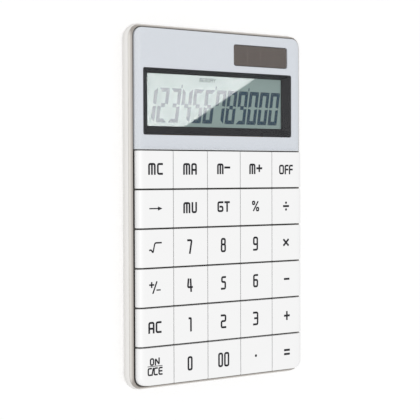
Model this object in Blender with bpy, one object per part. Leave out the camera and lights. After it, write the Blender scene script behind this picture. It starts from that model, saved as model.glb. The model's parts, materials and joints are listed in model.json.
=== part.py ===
"""Slim twelve-digit calculator with tile keys, built as separate parts.

Metres, +Z up. The calculator lies on its back with its keys up: +X is to the
right, +Y runs towards the display, and the origin is under its middle, on the
surface that the rubber feet stand on.
"""
import math

import bmesh
import bpy

MM = 0.001
GAP = 0.3 * MM                      # clearance between pieces that touch
CORNER_STEPS = 4                    # segments in a rounded corner
ROUND_SIDES = 16                    # sides of a small round piece

# Face of the calculator
KEY_COLUMNS = 5
KEY_ROWS = 6
KEY_PITCH_X = 19.45 * MM
KEY_PITCH_Y = 17.85 * MM
KEY_GROOVE = 0.42 * MM              # open groove between two keys
DISPLAY_LENGTH = 55.25 * MM         # from the first row of keys to the lens's far end
FIELD_CORNER = 4.0 * MM
SIDE_ROUND_WIDTH = 3.6 * MM         # rolled outer side of the keys and the lens
SIDE_ROUND_DROP = 1.8 * MM
ROUND_LEVELS = 4                    # levels in a rolled side
EDGE_FILLET = 0.25 * MM
TILE_CORNER = 0.4 * MM

# Heights
THICKNESS = 13.0 * MM
FOOT_PROUD = 0.8 * MM
CAP_THICKNESS = 2.1 * MM
KEY_SKIRT = 1.2 * MM
KEY_TRAVEL = 1.0 * MM
LIP_BELOW_KEYS = 3.4 * MM
LIP_DROP = 1.6 * MM                 # height of the lip's slope

# Keys below their caps
SKIRT_INSET = 0.35 * MM
STEM_SIDE = 3.6 * MM
CATCH_SIDE = 4.8 * MM
CATCH_THICKNESS = 0.5 * MM

# Display end
LENS_THICKNESS = 2.4 * MM
PANEL_THICKNESS = 1.6 * MM
BEZEL_SIDE_MARGIN = 5.0 * MM        # from the panel's side to the bezel
BEZEL_START = 7.2 * MM              # from the first row of keys to the bezel
BEZEL_DEPTH = 3.1 * MM
BEZEL_CORNER = 0.8 * MM
WINDOW_SIDE_MARGIN = 3.7 * MM       # width of the bezel's side slopes
WINDOW_START = 3.8 * MM             # width of its lower slope
WINDOW_END = 1.9 * MM               # width of its far slope
LCD_HIDDEN_EDGE = 1.6 * MM
LCD_THICKNESS = 1.7 * MM
SOLAR_SIDE_MARGIN = 7.5 * MM
SOLAR_END_MARGIN = 4.95 * MM        # from the lens's far end to the solar strip
SOLAR_TO_BEZEL = 3.7 * MM
SOLAR_WIDTH = 32.6 * MM
SOLAR_HEIGHT = 9.6 * MM
SOLAR_CORNER = 1.2 * MM
SOLAR_THICKNESS = 1.3 * MM

# Front frame and key deck
LIP_SIDE_MARGIN = 1.83 * MM         # from the keys' side to the lip's outer edge
LIP_END_MARGIN = 1.55 * MM
LIP_WIDTH = 1.35 * MM
LIP_END_WIDTH = 1.2 * MM
FRAME_WALL = 1.1 * MM
FRAME_DEPTH = 2.4 * MM              # how far the frame reaches into the shell
LEDGE_WIDTH = 0.9 * MM
LEDGE_THICKNESS = 0.5 * MM
DECK_THICKNESS = 1.0 * MM

# Rear shell
BULGE_SIDE = 0.95 * MM              # how far the shell swells past the lip
BULGE_END = 0.5 * MM
SHELL_CORNER = 7.0 * MM
SHELL_EDGE = 5.0 * MM               # radius of its rolled lower edge
SHELL_FLOOR = 1.4 * MM
SHELL_LIP_WALL = 0.85 * MM
CAVITY_EDGE = 3.2 * MM
RIB_WIDTH = 1.2 * MM
RIB_LENGTH = 70.0 * MM
RIB_COUNT = 3

# Screws and feet
SCREW_SIDE = 4.6 * MM               # from the lip's outer edge to a screw's axis
SCREW_END = 6.6 * MM
BOSS_RADIUS = 2.2 * MM
PILLAR_RADIUS = 1.9 * MM
PILLAR_DEPTH = 2.6 * MM
SHANK_RADIUS = 0.8 * MM
HEAD_RADIUS = 1.5 * MM
HEAD_THICKNESS = 0.9 * MM
FOOT_RADIUS = 4.0 * MM
FOOT_SINK = 0.4 * MM
FOOT_SIDE = 10.0 * MM
FOOT_END = 17.0 * MM

# Circuit board, key sheet and leads
BOARD_THICKNESS = 1.0 * MM
BOARD_CLEARANCE = 0.35 * MM         # from the board to the screw bosses
BOARD_END_MARGIN = 3.4 * MM
BOARD_PAST_KEYS = 5.0 * MM
SHEET_THICKNESS = 0.4 * MM
SHEET_SHORT = 0.8 * MM              # how far the sheet stops before the keys' end
DOME_RADIUS = 4.1 * MM
DOME_WALL = 0.6 * MM
DOME_HEIGHT = 0.6 * MM
BLOB_RADIUS = 6.0 * MM
BLOB_THICKNESS = 0.7 * MM
RIBBON_WIDTH = 60.0 * MM
RIBBON_THICKNESS = 0.25 * MM
RIBBON_LAP = 3.5 * MM
LEAD_RADIUS = 0.35 * MM
LEAD_SPACING = 1.6 * MM
LEAD_BEND = 2.0 * MM

# Battery and its door
CELL_RADIUS = 5.8 * MM
CELL_THICKNESS = 3.05 * MM
CELL_X = -22.0 * MM
CELL_CLEARANCE = 0.5 * MM
DOOR_SIDE_LAP = 4.7 * MM            # how far the door reaches past the well's bore
DOOR_LAP = 3.7 * MM
DOOR_THICKNESS = 0.9 * MM
DOOR_ROOF = 1.0 * MM                # shell above the door's slot
ROOF_SHORT = 2.2 * MM               # how far that roof stops inside the end wall
WELL_WALL = 1.0 * MM
CONTACT_THICKNESS = 0.25 * MM
CONTACT_WIDTH = 4.0 * MM
CONTACT_SPRING = 1.1 * MM
CONTACT_TAIL = 3.0 * MM

# Heights that follow
CAP_BOTTOM = THICKNESS - CAP_THICKNESS
SKIRT_BOTTOM = CAP_BOTTOM - KEY_SKIRT
DECK_TOP = SKIRT_BOTTOM - KEY_TRAVEL - GAP
DECK_BOTTOM = DECK_TOP - DECK_THICKNESS
CATCH_TOP = DECK_BOTTOM - GAP
CATCH_BOTTOM = CATCH_TOP - CATCH_THICKNESS
SHEET_TOP = CATCH_BOTTOM - KEY_TRAVEL - GAP
SHEET_BOTTOM = SHEET_TOP - SHEET_THICKNESS
BOARD_TOP = SHEET_BOTTOM - GAP
BOARD_BOTTOM = BOARD_TOP - BOARD_THICKNESS
LIP_TOP = THICKNESS - LIP_BELOW_KEYS
LIP_BOTTOM = LIP_TOP - LIP_DROP
SHELL_TOP = LIP_BOTTOM - GAP
SHELL_BOTTOM = FOOT_PROUD
FLOOR_TOP = SHELL_BOTTOM + SHELL_FLOOR
LENS_BOTTOM = THICKNESS - LENS_THICKNESS
PANEL_TOP = LENS_BOTTOM - GAP
PANEL_BOTTOM = PANEL_TOP - PANEL_THICKNESS
BEZEL_BOTTOM = PANEL_TOP - BEZEL_DEPTH
LCD_TOP = BEZEL_BOTTOM - GAP
LCD_BOTTOM = LCD_TOP - LCD_THICKNESS
DOOR_TOP = SHELL_BOTTOM + DOOR_THICKNESS
ROOF_BOTTOM = DOOR_TOP + GAP
ROOF_TOP = ROOF_BOTTOM + DOOR_ROOF
CELL_BOTTOM = DOOR_TOP + GAP
CELL_TOP = CELL_BOTTOM + CELL_THICKNESS

# Plan places that follow
FACE_END = (DISPLAY_LENGTH + KEY_ROWS * KEY_PITCH_Y) / 2
FIELD_TOP = FACE_END - DISPLAY_LENGTH
FIELD_SIDE = (KEY_COLUMNS * KEY_PITCH_X - KEY_GROOVE) / 2
LIP_SIDE = FIELD_SIDE + LIP_SIDE_MARGIN
LIP_END = FACE_END + LIP_END_MARGIN
SHELL_SIDE = LIP_SIDE + BULGE_SIDE
SHELL_END = LIP_END + BULGE_END
CAVITY_SIDE = LIP_SIDE - SHELL_LIP_WALL
CAVITY_END = LIP_END - SHELL_LIP_WALL
FRAME_SIDE = CAVITY_SIDE - GAP
FRAME_END = CAVITY_END - GAP
BEZEL_SIDE = FIELD_SIDE - BEZEL_SIDE_MARGIN
BEZEL_LOW = FIELD_TOP + BEZEL_START
SOLAR_HIGH = FACE_END - SOLAR_END_MARGIN
SOLAR_LOW = SOLAR_HIGH - SOLAR_HEIGHT
BEZEL_HIGH = SOLAR_LOW - SOLAR_TO_BEZEL
WINDOW_SIDE = BEZEL_SIDE - WINDOW_SIDE_MARGIN
WINDOW_LOW = BEZEL_LOW + WINDOW_START
WINDOW_HIGH = BEZEL_HIGH - WINDOW_END
LCD_SIDE = WINDOW_SIDE + LCD_HIDDEN_EDGE
LCD_LOW = WINDOW_LOW - LCD_HIDDEN_EDGE
LCD_HIGH = WINDOW_HIGH + LCD_HIDDEN_EDGE
SOLAR_RIGHT = FIELD_SIDE - SOLAR_SIDE_MARGIN
SOLAR_LEFT = SOLAR_RIGHT - SOLAR_WIDTH
SCREW_X = LIP_SIDE - SCREW_SIDE
SCREW_Y = LIP_END - SCREW_END
FOOT_X = LIP_SIDE - FOOT_SIDE
FOOT_Y = LIP_END - FOOT_END
BOARD_SIDE = SCREW_X - BOSS_RADIUS - BOARD_CLEARANCE
BOARD_LOW = BOARD_END_MARGIN - LIP_END
BOARD_HIGH = FIELD_TOP + BOARD_PAST_KEYS
WELL_RADIUS = CELL_RADIUS + CELL_CLEARANCE
CELL_Y = LCD_HIGH + GAP + WELL_WALL + WELL_RADIUS
DOOR_HALF = WELL_RADIUS + DOOR_SIDE_LAP
DOOR_LOW = CELL_Y - WELL_RADIUS - DOOR_LAP
SCREW_ROWS = (-SCREW_Y, FIELD_TOP - 2 * KEY_PITCH_Y, SCREW_Y)
SCREW_PLACES = [(side * SCREW_X, y) for side in (-1, 1) for y in SCREW_ROWS]


# ---------------------------------------------------------------- materials

def new_material(name, colour, roughness, metallic=0.0):
    """A Principled material of one colour."""
    material = bpy.data.materials.new(name)
    material.use_nodes = True
    shader = material.node_tree.nodes["Principled BSDF"]
    shader.inputs["Base Color"].default_value = (*colour, 1.0)
    shader.inputs["Roughness"].default_value = roughness
    shader.inputs["Metallic"].default_value = metallic
    return material


# ------------------------------------------------------------ mesh helpers

def outline(x0, x1, y0, y1, radii, steps=CORNER_STEPS):
    """A rectangle with rounded corners, from its lower left corner round anticlockwise."""
    centres = ((x0, y0, 1, 1), (x1, y0, -1, 1), (x1, y1, -1, -1), (x0, y1, 1, -1))
    points = []
    for turn, ((x, y, side, end), radius) in enumerate(zip(centres, radii)):
        for step in range(steps + 1):
            angle = math.pi * (1 + turn / 2 + step / steps / 2)
            points.append((x + side * radius + radius * math.cos(angle),
                           y + end * radius + radius * math.sin(angle)))
    return points


def centred(half_x, half_y, radius):
    """A centred rectangle with four equal corners."""
    return outline(-half_x, half_x, -half_y, half_y, (radius,) * 4)


def boxed(x0, x1, y0, y1, radius):
    """A rectangle with four equal corners."""
    return outline(x0, x1, y0, y1, (radius,) * 4)


def circle(x, y, radius, sides=ROUND_SIDES):
    """A regular outline round a point."""
    turns = [2 * math.pi * step / sides for step in range(sides)]
    return [(x + radius * math.cos(turn), y + radius * math.sin(turn)) for turn in turns]


def add_stack(mesh, levels, ring=False):
    """Join outlines at their heights into a closed body; a ring's last outline meets its first."""
    loops = [[mesh.verts.new((x, y, z)) for x, y in points] for points, z in levels]
    pairs = list(zip(loops, loops[1:]))
    if ring:
        pairs.append((loops[-1], loops[0]))
    else:
        mesh.faces.new(loops[0])
        mesh.faces.new(loops[-1])
    for low, high in pairs:
        count = len(low)
        for index in range(count):
            after = (index + 1) % count
            mesh.faces.new((low[index], low[after], high[after], high[index]))


def add_prism(mesh, points, low, high):
    """A straight-sided body between two heights."""
    add_stack(mesh, [(points, low), (points, high)])


def finished(name, mesh, material=None, location=(0, 0, 0), smooth=None):
    """Turn a bmesh into a placed object with its faces pointing out."""
    bmesh.ops.recalc_face_normals(mesh, faces=mesh.faces)
    data = bpy.data.meshes.new(name)
    mesh.to_mesh(data)
    mesh.free()
    if material:
        data.materials.append(material)
    if smooth:
        data.shade_smooth()
        data.set_sharp_from_angle(angle=math.radians(smooth))
    item = bpy.data.objects.new(name, data)
    item.location = location
    bpy.context.scene.collection.objects.link(item)
    return item


def cutter(name, mesh):
    """A helper body that only shapes other bodies."""
    item = finished(name, mesh)
    item.hide_render = True
    item.display_type = "WIRE"
    return item


def combine(target, tool, operation):
    """Cut, join or trim a body with a helper."""
    modifier = target.modifiers.new(tool.name, "BOOLEAN")
    modifier.solver = "EXACT"
    modifier.operation = operation
    modifier.object = tool


def bent_strip(mesh, profile, thickness, x0, x1):
    """A strip of even thickness along a profile of (y, z) points, between two values of x."""
    sides = []
    for index, (y, z) in enumerate(profile):
        before = profile[max(index - 1, 0)]
        after = profile[min(index + 1, len(profile) - 1)]
        run, rise = after[0] - before[0], after[1] - before[1]
        length = math.hypot(run, rise)
        offset = (-rise / length * thickness, run / length * thickness)
        sides.append(((y, z), (y + offset[0], z + offset[1])))
    section = [low for low, high in sides] + [high for low, high in reversed(sides)]
    left = [mesh.verts.new((x0, y, z)) for y, z in section]
    right = [mesh.verts.new((x1, y, z)) for y, z in section]
    mesh.faces.new(left)
    mesh.faces.new(right)
    for index in range(len(section)):
        after = (index + 1) % len(section)
        mesh.faces.new((left[index], left[after], right[after], right[index]))


# -------------------------------------------------------------- rear shell

def shell_outline(inset_x, inset_y):
    """The shell's widest outline, drawn in by two insets."""
    corner = SHELL_CORNER - max(inset_x, inset_y) * 0.6
    return centred(SHELL_SIDE - inset_x, SHELL_END - inset_y, corner)


def shell_skin():
    """Levels of the shell's outside, from its flat back to the edge under the lip."""
    widest = SHELL_BOTTOM + SHELL_EDGE
    levels = []
    for step in range(ROUND_LEVELS + 1):
        angle = math.pi / 2 * step / ROUND_LEVELS
        inset = SHELL_EDGE * (1 - math.sin(angle))
        levels.append((shell_outline(inset, inset), widest - SHELL_EDGE * math.cos(angle)))
    upper = SHELL_TOP - widest
    for share in (0.6, 1.0):
        swell = share ** 2
        levels.append((shell_outline(BULGE_SIDE * swell, BULGE_END * swell), widest + upper * share))
    return levels


def cavity_levels():
    """Levels of the hollow inside the shell."""
    low = centred(CAVITY_SIDE - CAVITY_EDGE, CAVITY_END - CAVITY_EDGE, SHELL_CORNER / 2)
    high = centred(CAVITY_SIDE, CAVITY_END, SHELL_CORNER - BULGE_SIDE)
    return [(low, FLOOR_TOP), (high, FLOOR_TOP + CAVITY_EDGE), (high, SHELL_TOP + SHELL_FLOOR)]


def rear_shell(material):
    """The moulded back: a tray with screw bosses, ribs, foot pockets and the battery well."""
    body = bmesh.new()
    add_stack(body, shell_skin())
    shell = finished("rear_shell", body, material, smooth=40)
    hollow = bmesh.new()
    add_stack(hollow, cavity_levels())
    combine(shell, cutter("shell_hollow", hollow), "DIFFERENCE")
    combine(shell, shell_additions(), "UNION")
    combine(shell, shell_openings(), "DIFFERENCE")
    return shell


def shell_additions():
    """Bosses, board ribs and the battery well's walls, rooted in the shell's floor."""
    added = bmesh.new()
    root = FLOOR_TOP - SHELL_FLOOR / 2
    for x, y in SCREW_PLACES:
        add_prism(added, circle(x, y, BOSS_RADIUS), root, DECK_BOTTOM - PILLAR_DEPTH - GAP)
    for index in range(RIB_COUNT):
        y = BOARD_LOW + (BOARD_HIGH - BOARD_LOW) * (index + 0.3) / RIB_COUNT
        rib = boxed(-RIB_LENGTH / 2, RIB_LENGTH / 2, y, y + RIB_WIDTH, RIB_WIDTH / 4)
        add_prism(added, rib, root, BOARD_BOTTOM - GAP)
    outer = WELL_RADIUS + WELL_WALL
    half = DOOR_HALF + GAP + WELL_WALL
    roof_end = LIP_END - ROOF_SHORT
    roof = boxed(CELL_X - half, CELL_X + half, DOOR_LOW - GAP - WELL_WALL, roof_end, WELL_WALL / 2)
    add_prism(added, roof, root, ROOF_TOP)
    tool = cutter("shell_added", added)
    wall = bmesh.new()
    add_prism(wall, circle(CELL_X, CELL_Y, outer, ROUND_SIDES * 2), root, CELL_TOP + CONTACT_SPRING)
    combine(tool, cutter("well_wall", wall), "UNION")
    return tool


def shell_openings():
    """Screw holes with counterbores, foot pockets, the door's slot and the battery well."""
    removed = bmesh.new()
    under = SHELL_BOTTOM - GAP
    for x, y in SCREW_PLACES:
        head_hole = circle(x, y, HEAD_RADIUS + GAP)
        shank_hole = circle(x, y, SHANK_RADIUS + GAP)
        seat = SHELL_BOTTOM + HEAD_THICKNESS + 2 * GAP
        levels = [(head_hole, under), (head_hole, seat), (shank_hole, seat), (shank_hole, THICKNESS)]
        add_stack(removed, levels)
    for x, y in foot_places():
        add_prism(removed, circle(x, y, FOOT_RADIUS + GAP), under, SHELL_BOTTOM + FOOT_SINK + GAP)
    half = DOOR_HALF + GAP
    slot = boxed(CELL_X - half, CELL_X + half, DOOR_LOW - GAP, SHELL_END + SHELL_EDGE, GAP)
    add_prism(removed, slot, under, ROOF_BOTTOM)
    tool = cutter("shell_removed", removed)
    well = bmesh.new()
    bore = circle(CELL_X, CELL_Y, WELL_RADIUS, ROUND_SIDES * 2)
    add_prism(well, bore, DOOR_TOP, THICKNESS)
    combine(tool, cutter("well_bore", well), "UNION")
    notch = bmesh.new()
    half = CONTACT_WIDTH / 2 + GAP
    add_prism(notch, boxed(CELL_X, CELL_X + 2 * CELL_RADIUS, CELL_Y - half, CELL_Y + half, GAP),
              ROOF_TOP + GAP, THICKNESS)
    combine(tool, cutter("well_notch", notch), "UNION")
    return tool


def foot_places():
    """Axes of the four rubber feet."""
    return [(side * FOOT_X, end * FOOT_Y) for end in (-1, 1) for side in (-1, 1)]


def feet(material):
    """Four round rubber feet in their pockets."""
    for index, (x, y) in enumerate(foot_places()):
        body = bmesh.new()
        top = SHELL_BOTTOM + FOOT_SINK
        levels = [(circle(0, 0, FOOT_RADIUS - GAP), 0), (circle(0, 0, FOOT_RADIUS), GAP),
                  (circle(0, 0, FOOT_RADIUS), top)]
        add_stack(body, levels)
        finished(f"rubber_foot_{index + 1}", body, material, (x, y, 0), smooth=50)


def screws(material):
    """Six screws that hold the shell to the key deck."""
    for index, (x, y) in enumerate(SCREW_PLACES):
        body = bmesh.new()
        low = SHELL_BOTTOM + GAP
        seat = low + HEAD_THICKNESS
        tip = DECK_BOTTOM - GAP
        levels = [(circle(0, 0, HEAD_RADIUS), low), (circle(0, 0, HEAD_RADIUS), seat),
                  (circle(0, 0, SHANK_RADIUS), seat), (circle(0, 0, SHANK_RADIUS), tip)]
        add_stack(body, levels)
        finished(f"case_screw_{index + 1}", body, material, (x, y, 0), smooth=50)


# ----------------------------------------------------- front frame and deck

def front_frame(material):
    """The ring that closes the shell: a sloped lip, a wall inside the shell and the deck's ledge."""
    inner_side = LIP_SIDE - LIP_WIDTH
    inner_end = LIP_END - LIP_END_WIDTH
    wall_side = FRAME_SIDE - FRAME_WALL
    wall_end = FRAME_END - FRAME_WALL
    ledge_side = inner_side - LEDGE_WIDTH
    ledge_end = inner_end - LEDGE_WIDTH
    corner = SHELL_CORNER - BULGE_SIDE
    ledge_top = DECK_BOTTOM - GAP
    levels = [
        (centred(inner_side, inner_end, FIELD_CORNER + GAP), LIP_TOP),
        (centred(inner_side + LIP_WIDTH * 0.3, inner_end + LIP_END_WIDTH * 0.3, corner - 1.2 * MM),
         LIP_TOP - LIP_DROP * 0.08),
        (centred(inner_side + LIP_WIDTH * 0.75, inner_end + LIP_END_WIDTH * 0.75, corner - 0.5 * MM),
         LIP_TOP - LIP_DROP * 0.45),
        (centred(LIP_SIDE, LIP_END, corner), LIP_BOTTOM),
        (centred(FRAME_SIDE, FRAME_END, corner - SHELL_LIP_WALL), LIP_BOTTOM),
        (centred(FRAME_SIDE, FRAME_END, corner - SHELL_LIP_WALL), LIP_BOTTOM - FRAME_DEPTH),
        (centred(wall_side, wall_end, FIELD_CORNER), LIP_BOTTOM - FRAME_DEPTH),
        (centred(wall_side, wall_end, FIELD_CORNER), ledge_top - LEDGE_THICKNESS),
        (centred(ledge_side, ledge_end, FIELD_CORNER), ledge_top - LEDGE_THICKNESS),
        (centred(ledge_side, ledge_end, FIELD_CORNER), ledge_top),
        (centred(inner_side, inner_end, FIELD_CORNER + GAP), ledge_top),
    ]
    body = bmesh.new()
    add_stack(body, levels, ring=True)
    return finished("front_frame", body, material, smooth=40)


def key_centre(column, row):
    """Plan place of a key's middle."""
    x = (column - (KEY_COLUMNS - 1) / 2) * KEY_PITCH_X
    y = FIELD_TOP - (row + 0.5) * KEY_PITCH_Y
    return x, y


def key_deck(material):
    """The dark plate under the keys, with a hole for each stem and screw pillars below."""
    body = bmesh.new()
    side = LIP_SIDE - LIP_WIDTH - GAP
    end = LIP_END - LIP_END_WIDTH - GAP
    add_prism(body, centred(side, end, FIELD_CORNER), DECK_BOTTOM, DECK_TOP)
    deck = finished("key_deck", body, material)
    pillars = bmesh.new()
    for x, y in SCREW_PLACES:
        add_prism(pillars, circle(x, y, PILLAR_RADIUS), DECK_BOTTOM - PILLAR_DEPTH,
                  DECK_TOP - DECK_THICKNESS / 2)
    combine(deck, cutter("deck_pillars", pillars), "UNION")
    holes = bmesh.new()
    half = STEM_SIDE / 2 + GAP
    for row in range(KEY_ROWS):
        for column in range(KEY_COLUMNS):
            x, y = key_centre(column, row)
            add_prism(holes, outline(x - half, x + half, y - half, y + half, (GAP,) * 4, steps=1),
                      DECK_BOTTOM - GAP, THICKNESS)
    display = boxed(-BEZEL_SIDE - GAP, BEZEL_SIDE + GAP, BEZEL_LOW - GAP, BEZEL_HIGH + GAP, GAP)
    add_prism(holes, display, DECK_BOTTOM - GAP, THICKNESS)
    for x, y in SCREW_PLACES:
        add_prism(holes, circle(x, y, SHANK_RADIUS + GAP), DECK_BOTTOM - 2 * PILLAR_DEPTH, DECK_BOTTOM)
    (right, y), (left, y) = lead_starts()
    reach = LEAD_RADIUS + GAP
    lead_hole = boxed(left - reach, right + reach, y - reach, y + reach, GAP)
    add_prism(holes, lead_hole, DECK_BOTTOM - GAP, THICKNESS)
    combine(deck, cutter("deck_holes", holes), "DIFFERENCE")
    return deck


# --------------------------------------------------------------------- keys

def rolled_insets():
    """Side inset and height below the top for each level of a rolled side."""
    steps = []
    for step in range(ROUND_LEVELS + 1):
        angle = math.pi / 2 * step / ROUND_LEVELS
        steps.append((SIDE_ROUND_WIDTH * (1 - math.sin(angle)), SIDE_ROUND_DROP * (1 - math.cos(angle))))
    return steps


def key(name, column, row, material):
    """A tile key: its cap, the skirt under it, and a stem with the catch that holds it in the deck."""
    left = column == 0
    right = column == KEY_COLUMNS - 1
    bottom = row == KEY_ROWS - 1
    half_x = (KEY_PITCH_X - KEY_GROOVE) / 2
    half_y = (KEY_PITCH_Y - KEY_GROOVE) / 2
    radii = (FIELD_CORNER if left and bottom else TILE_CORNER,
             FIELD_CORNER if right and bottom else TILE_CORNER, TILE_CORNER, TILE_CORNER)
    steps = CORNER_STEPS if bottom and (left or right) else 1

    def level(inset_left, inset_right, inset_end, height):
        corners = [max(radius - inset_end, GAP) for radius in radii]
        return (outline(inset_left - half_x, half_x - inset_right, inset_end - half_y,
                        half_y - inset_end, corners, steps), height)

    def square(side, height):
        half = side / 2
        return outline(-half, half, -half, half, (GAP / 2,) * 4, steps), height

    levels = [square(CATCH_SIDE, CATCH_BOTTOM), square(CATCH_SIDE, CATCH_TOP),
              square(STEM_SIDE, CATCH_TOP), square(STEM_SIDE, SKIRT_BOTTOM),
              level(SKIRT_INSET, SKIRT_INSET, SKIRT_INSET, SKIRT_BOTTOM),
              level(SKIRT_INSET, SKIRT_INSET, SKIRT_INSET, CAP_BOTTOM),
              level(0, 0, 0, CAP_BOTTOM)]
    if left or right:
        for inset, drop in reversed(rolled_insets()):
            end = EDGE_FILLET if drop == 0 else 0
            levels.append(level(inset if left else end, inset if right else end, end, THICKNESS - drop))
    else:
        levels.append(level(0, 0, 0, THICKNESS - EDGE_FILLET))
        levels.append(level(EDGE_FILLET, EDGE_FILLET, EDGE_FILLET, THICKNESS))
    body = bmesh.new()
    add_stack(body, levels)
    x, y = key_centre(column, row)
    return finished(name, body, material, (x, y, 0), smooth=35)


KEY_NAMES = (
    ("key_memory_clear", "key_memory_add_total", "key_memory_minus", "key_memory_plus", "key_off"),
    ("key_backspace", "key_mark_up", "key_grand_total", "key_percent", "key_divide"),
    ("key_square_root", "key_7", "key_8", "key_9", "key_multiply"),
    ("key_sign", "key_4", "key_5", "key_6", "key_minus"),
    ("key_all_clear", "key_1", "key_2", "key_3", "key_plus"),
    ("key_on_clear", "key_0", "key_00", "key_point", "key_equals"),
)


def keys(material):
    """All thirty keys."""
    for row, names in enumerate(KEY_NAMES):
        for column, name in enumerate(names):
            key(name, column, row, material)


# ------------------------------------------------------------------ display

def display_outline(inset_side, inset_end):
    """The lens's outline, with its two far corners rounded."""
    side = FIELD_SIDE - inset_side
    corner = max(FIELD_CORNER - inset_end, GAP)
    near = FIELD_TOP + KEY_GROOVE / 2 + inset_end
    return outline(-side, side, near, FACE_END - inset_end, (TILE_CORNER, TILE_CORNER, corner, corner))


def display_lens(material):
    """The clear cover of the display end, with rolled sides."""
    levels = [(display_outline(0, 0), LENS_BOTTOM)]
    for inset, drop in reversed(rolled_insets()):
        levels.append((display_outline(inset, EDGE_FILLET if drop == 0 else 0), THICKNESS - drop))
    body = bmesh.new()
    add_stack(body, levels)
    return finished("display_lens", body, material, smooth=35)


def display_panel(material):
    """The painted carrier behind the lens, with the display and solar openings."""
    body = bmesh.new()
    add_prism(body, display_outline(0, 0), PANEL_BOTTOM, PANEL_TOP)
    panel = finished("display_panel", body, material)
    holes = bmesh.new()
    low, high = PANEL_BOTTOM - GAP, THICKNESS
    bezel_hole = boxed(-BEZEL_SIDE - GAP, BEZEL_SIDE + GAP, BEZEL_LOW - GAP, BEZEL_HIGH + GAP, BEZEL_CORNER)
    add_prism(holes, bezel_hole, low, high)
    solar_hole = boxed(SOLAR_LEFT - GAP, SOLAR_RIGHT + GAP, SOLAR_LOW - GAP, SOLAR_HIGH + GAP, SOLAR_CORNER)
    add_prism(holes, solar_hole, low, high)
    combine(panel, cutter("panel_holes", holes), "DIFFERENCE")
    return panel


def display_bezel(material):
    """The dark funnel round the liquid crystal cell: four slopes that meet in mitres."""
    outer = boxed(-BEZEL_SIDE, BEZEL_SIDE, BEZEL_LOW, BEZEL_HIGH, BEZEL_CORNER)
    rim = boxed(-BEZEL_SIDE + GAP, BEZEL_SIDE - GAP, BEZEL_LOW + GAP, BEZEL_HIGH - GAP, BEZEL_CORNER)
    window = boxed(-WINDOW_SIDE, WINDOW_SIDE, WINDOW_LOW, WINDOW_HIGH, GAP)
    body = bmesh.new()
    levels = [(outer, BEZEL_BOTTOM), (outer, PANEL_TOP), (rim, PANEL_TOP),
              (window, BEZEL_BOTTOM + GAP), (window, BEZEL_BOTTOM)]
    add_stack(body, levels, ring=True)
    return finished("display_bezel", body, material)


def lcd_cell(material):
    """The liquid crystal cell under the bezel."""
    body = bmesh.new()
    low = boxed(-LCD_SIDE, LCD_SIDE, LCD_LOW, LCD_HIGH, GAP)
    high = boxed(-LCD_SIDE + GAP, LCD_SIDE - GAP, LCD_LOW + GAP, LCD_HIGH - GAP, GAP)
    step = LCD_TOP - LCD_THICKNESS / 2
    add_stack(body, [(low, LCD_BOTTOM), (low, step), (high, step), (high, LCD_TOP)])
    return finished("lcd_cell", body, material)


def solar_cell(material):
    """The solar strip in its opening, on the deck."""
    body = bmesh.new()
    low = DECK_TOP + GAP
    shape = boxed(SOLAR_LEFT, SOLAR_RIGHT, SOLAR_LOW, SOLAR_HIGH, SOLAR_CORNER)
    add_prism(body, shape, low, low + SOLAR_THICKNESS)
    return finished("solar_cell", body, material)


# ------------------------------------------------------------------- inside

def keypad_sheet(material):
    """The silicone sheet over the board, with a dome seat round each stem."""
    body = bmesh.new()
    high = FIELD_TOP - SHEET_SHORT
    shape = boxed(-BOARD_SIDE, BOARD_SIDE, BOARD_LOW, high, 1 * MM)
    add_prism(body, shape, SHEET_BOTTOM, SHEET_TOP)
    sheet = finished("keypad_sheet", body, material)
    seats = bmesh.new()
    sides = ROUND_SIDES * 3 // 4
    for row in range(KEY_ROWS):
        for column in range(KEY_COLUMNS):
            x, y = key_centre(column, row)
            outer = circle(x, y, DOME_RADIUS, sides)
            inner = circle(x, y, DOME_RADIUS - DOME_WALL, sides)
            root = SHEET_TOP - SHEET_THICKNESS / 2
            top = SHEET_TOP + DOME_HEIGHT
            add_stack(seats, [(outer, root), (outer, top), (inner, top), (inner, root)], ring=True)
    combine(sheet, cutter("dome_seats", seats), "UNION")
    return sheet


def main_board(material):
    """The circuit board under the key sheet."""
    body = bmesh.new()
    add_prism(body, boxed(-BOARD_SIDE, BOARD_SIDE, BOARD_LOW, BOARD_HIGH, 1 * MM), BOARD_BOTTOM, BOARD_TOP)
    return finished("main_board", body, material)


def chip_cover(material):
    """The resin blob over the processor, under the board."""
    body = bmesh.new()
    top = BOARD_BOTTOM - GAP
    y = BOARD_HIGH - 2.5 * BLOB_RADIUS
    levels = [(circle(0, 0, BLOB_RADIUS * 0.6), top - BLOB_THICKNESS),
              (circle(0, 0, BLOB_RADIUS * 0.9), top - BLOB_THICKNESS * 0.6),
              (circle(0, 0, BLOB_RADIUS), top)]
    add_stack(body, levels)
    return finished("chip_cover", body, material, (0, y, 0), smooth=50)


def lcd_ribbon(material):
    """The flat ribbon from the liquid crystal cell down to the board."""
    on_board = BOARD_TOP + GAP
    under_lcd = LCD_BOTTOM - GAP - RIBBON_THICKNESS
    lap_end = LCD_LOW + RIBBON_LAP
    board_end = BOARD_HIGH - 0.2 * MM
    profile = [(board_end - RIBBON_LAP, on_board), (board_end, on_board),
               ((board_end + LCD_LOW) / 2, (on_board + under_lcd) / 2), (LCD_LOW, under_lcd),
               (lap_end, under_lcd)]
    body = bmesh.new()
    bent_strip(body, profile, RIBBON_THICKNESS, -RIBBON_WIDTH / 2, RIBBON_WIDTH / 2)
    return finished("lcd_ribbon", body, material)


def lead_starts():
    """Where the two solar leads come down through the deck."""
    x = SOLAR_RIGHT - 2 * LEAD_SPACING
    y = (SOLAR_LOW + SOLAR_HIGH) / 2
    return [(x, y), (x - LEAD_SPACING, y)]


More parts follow.
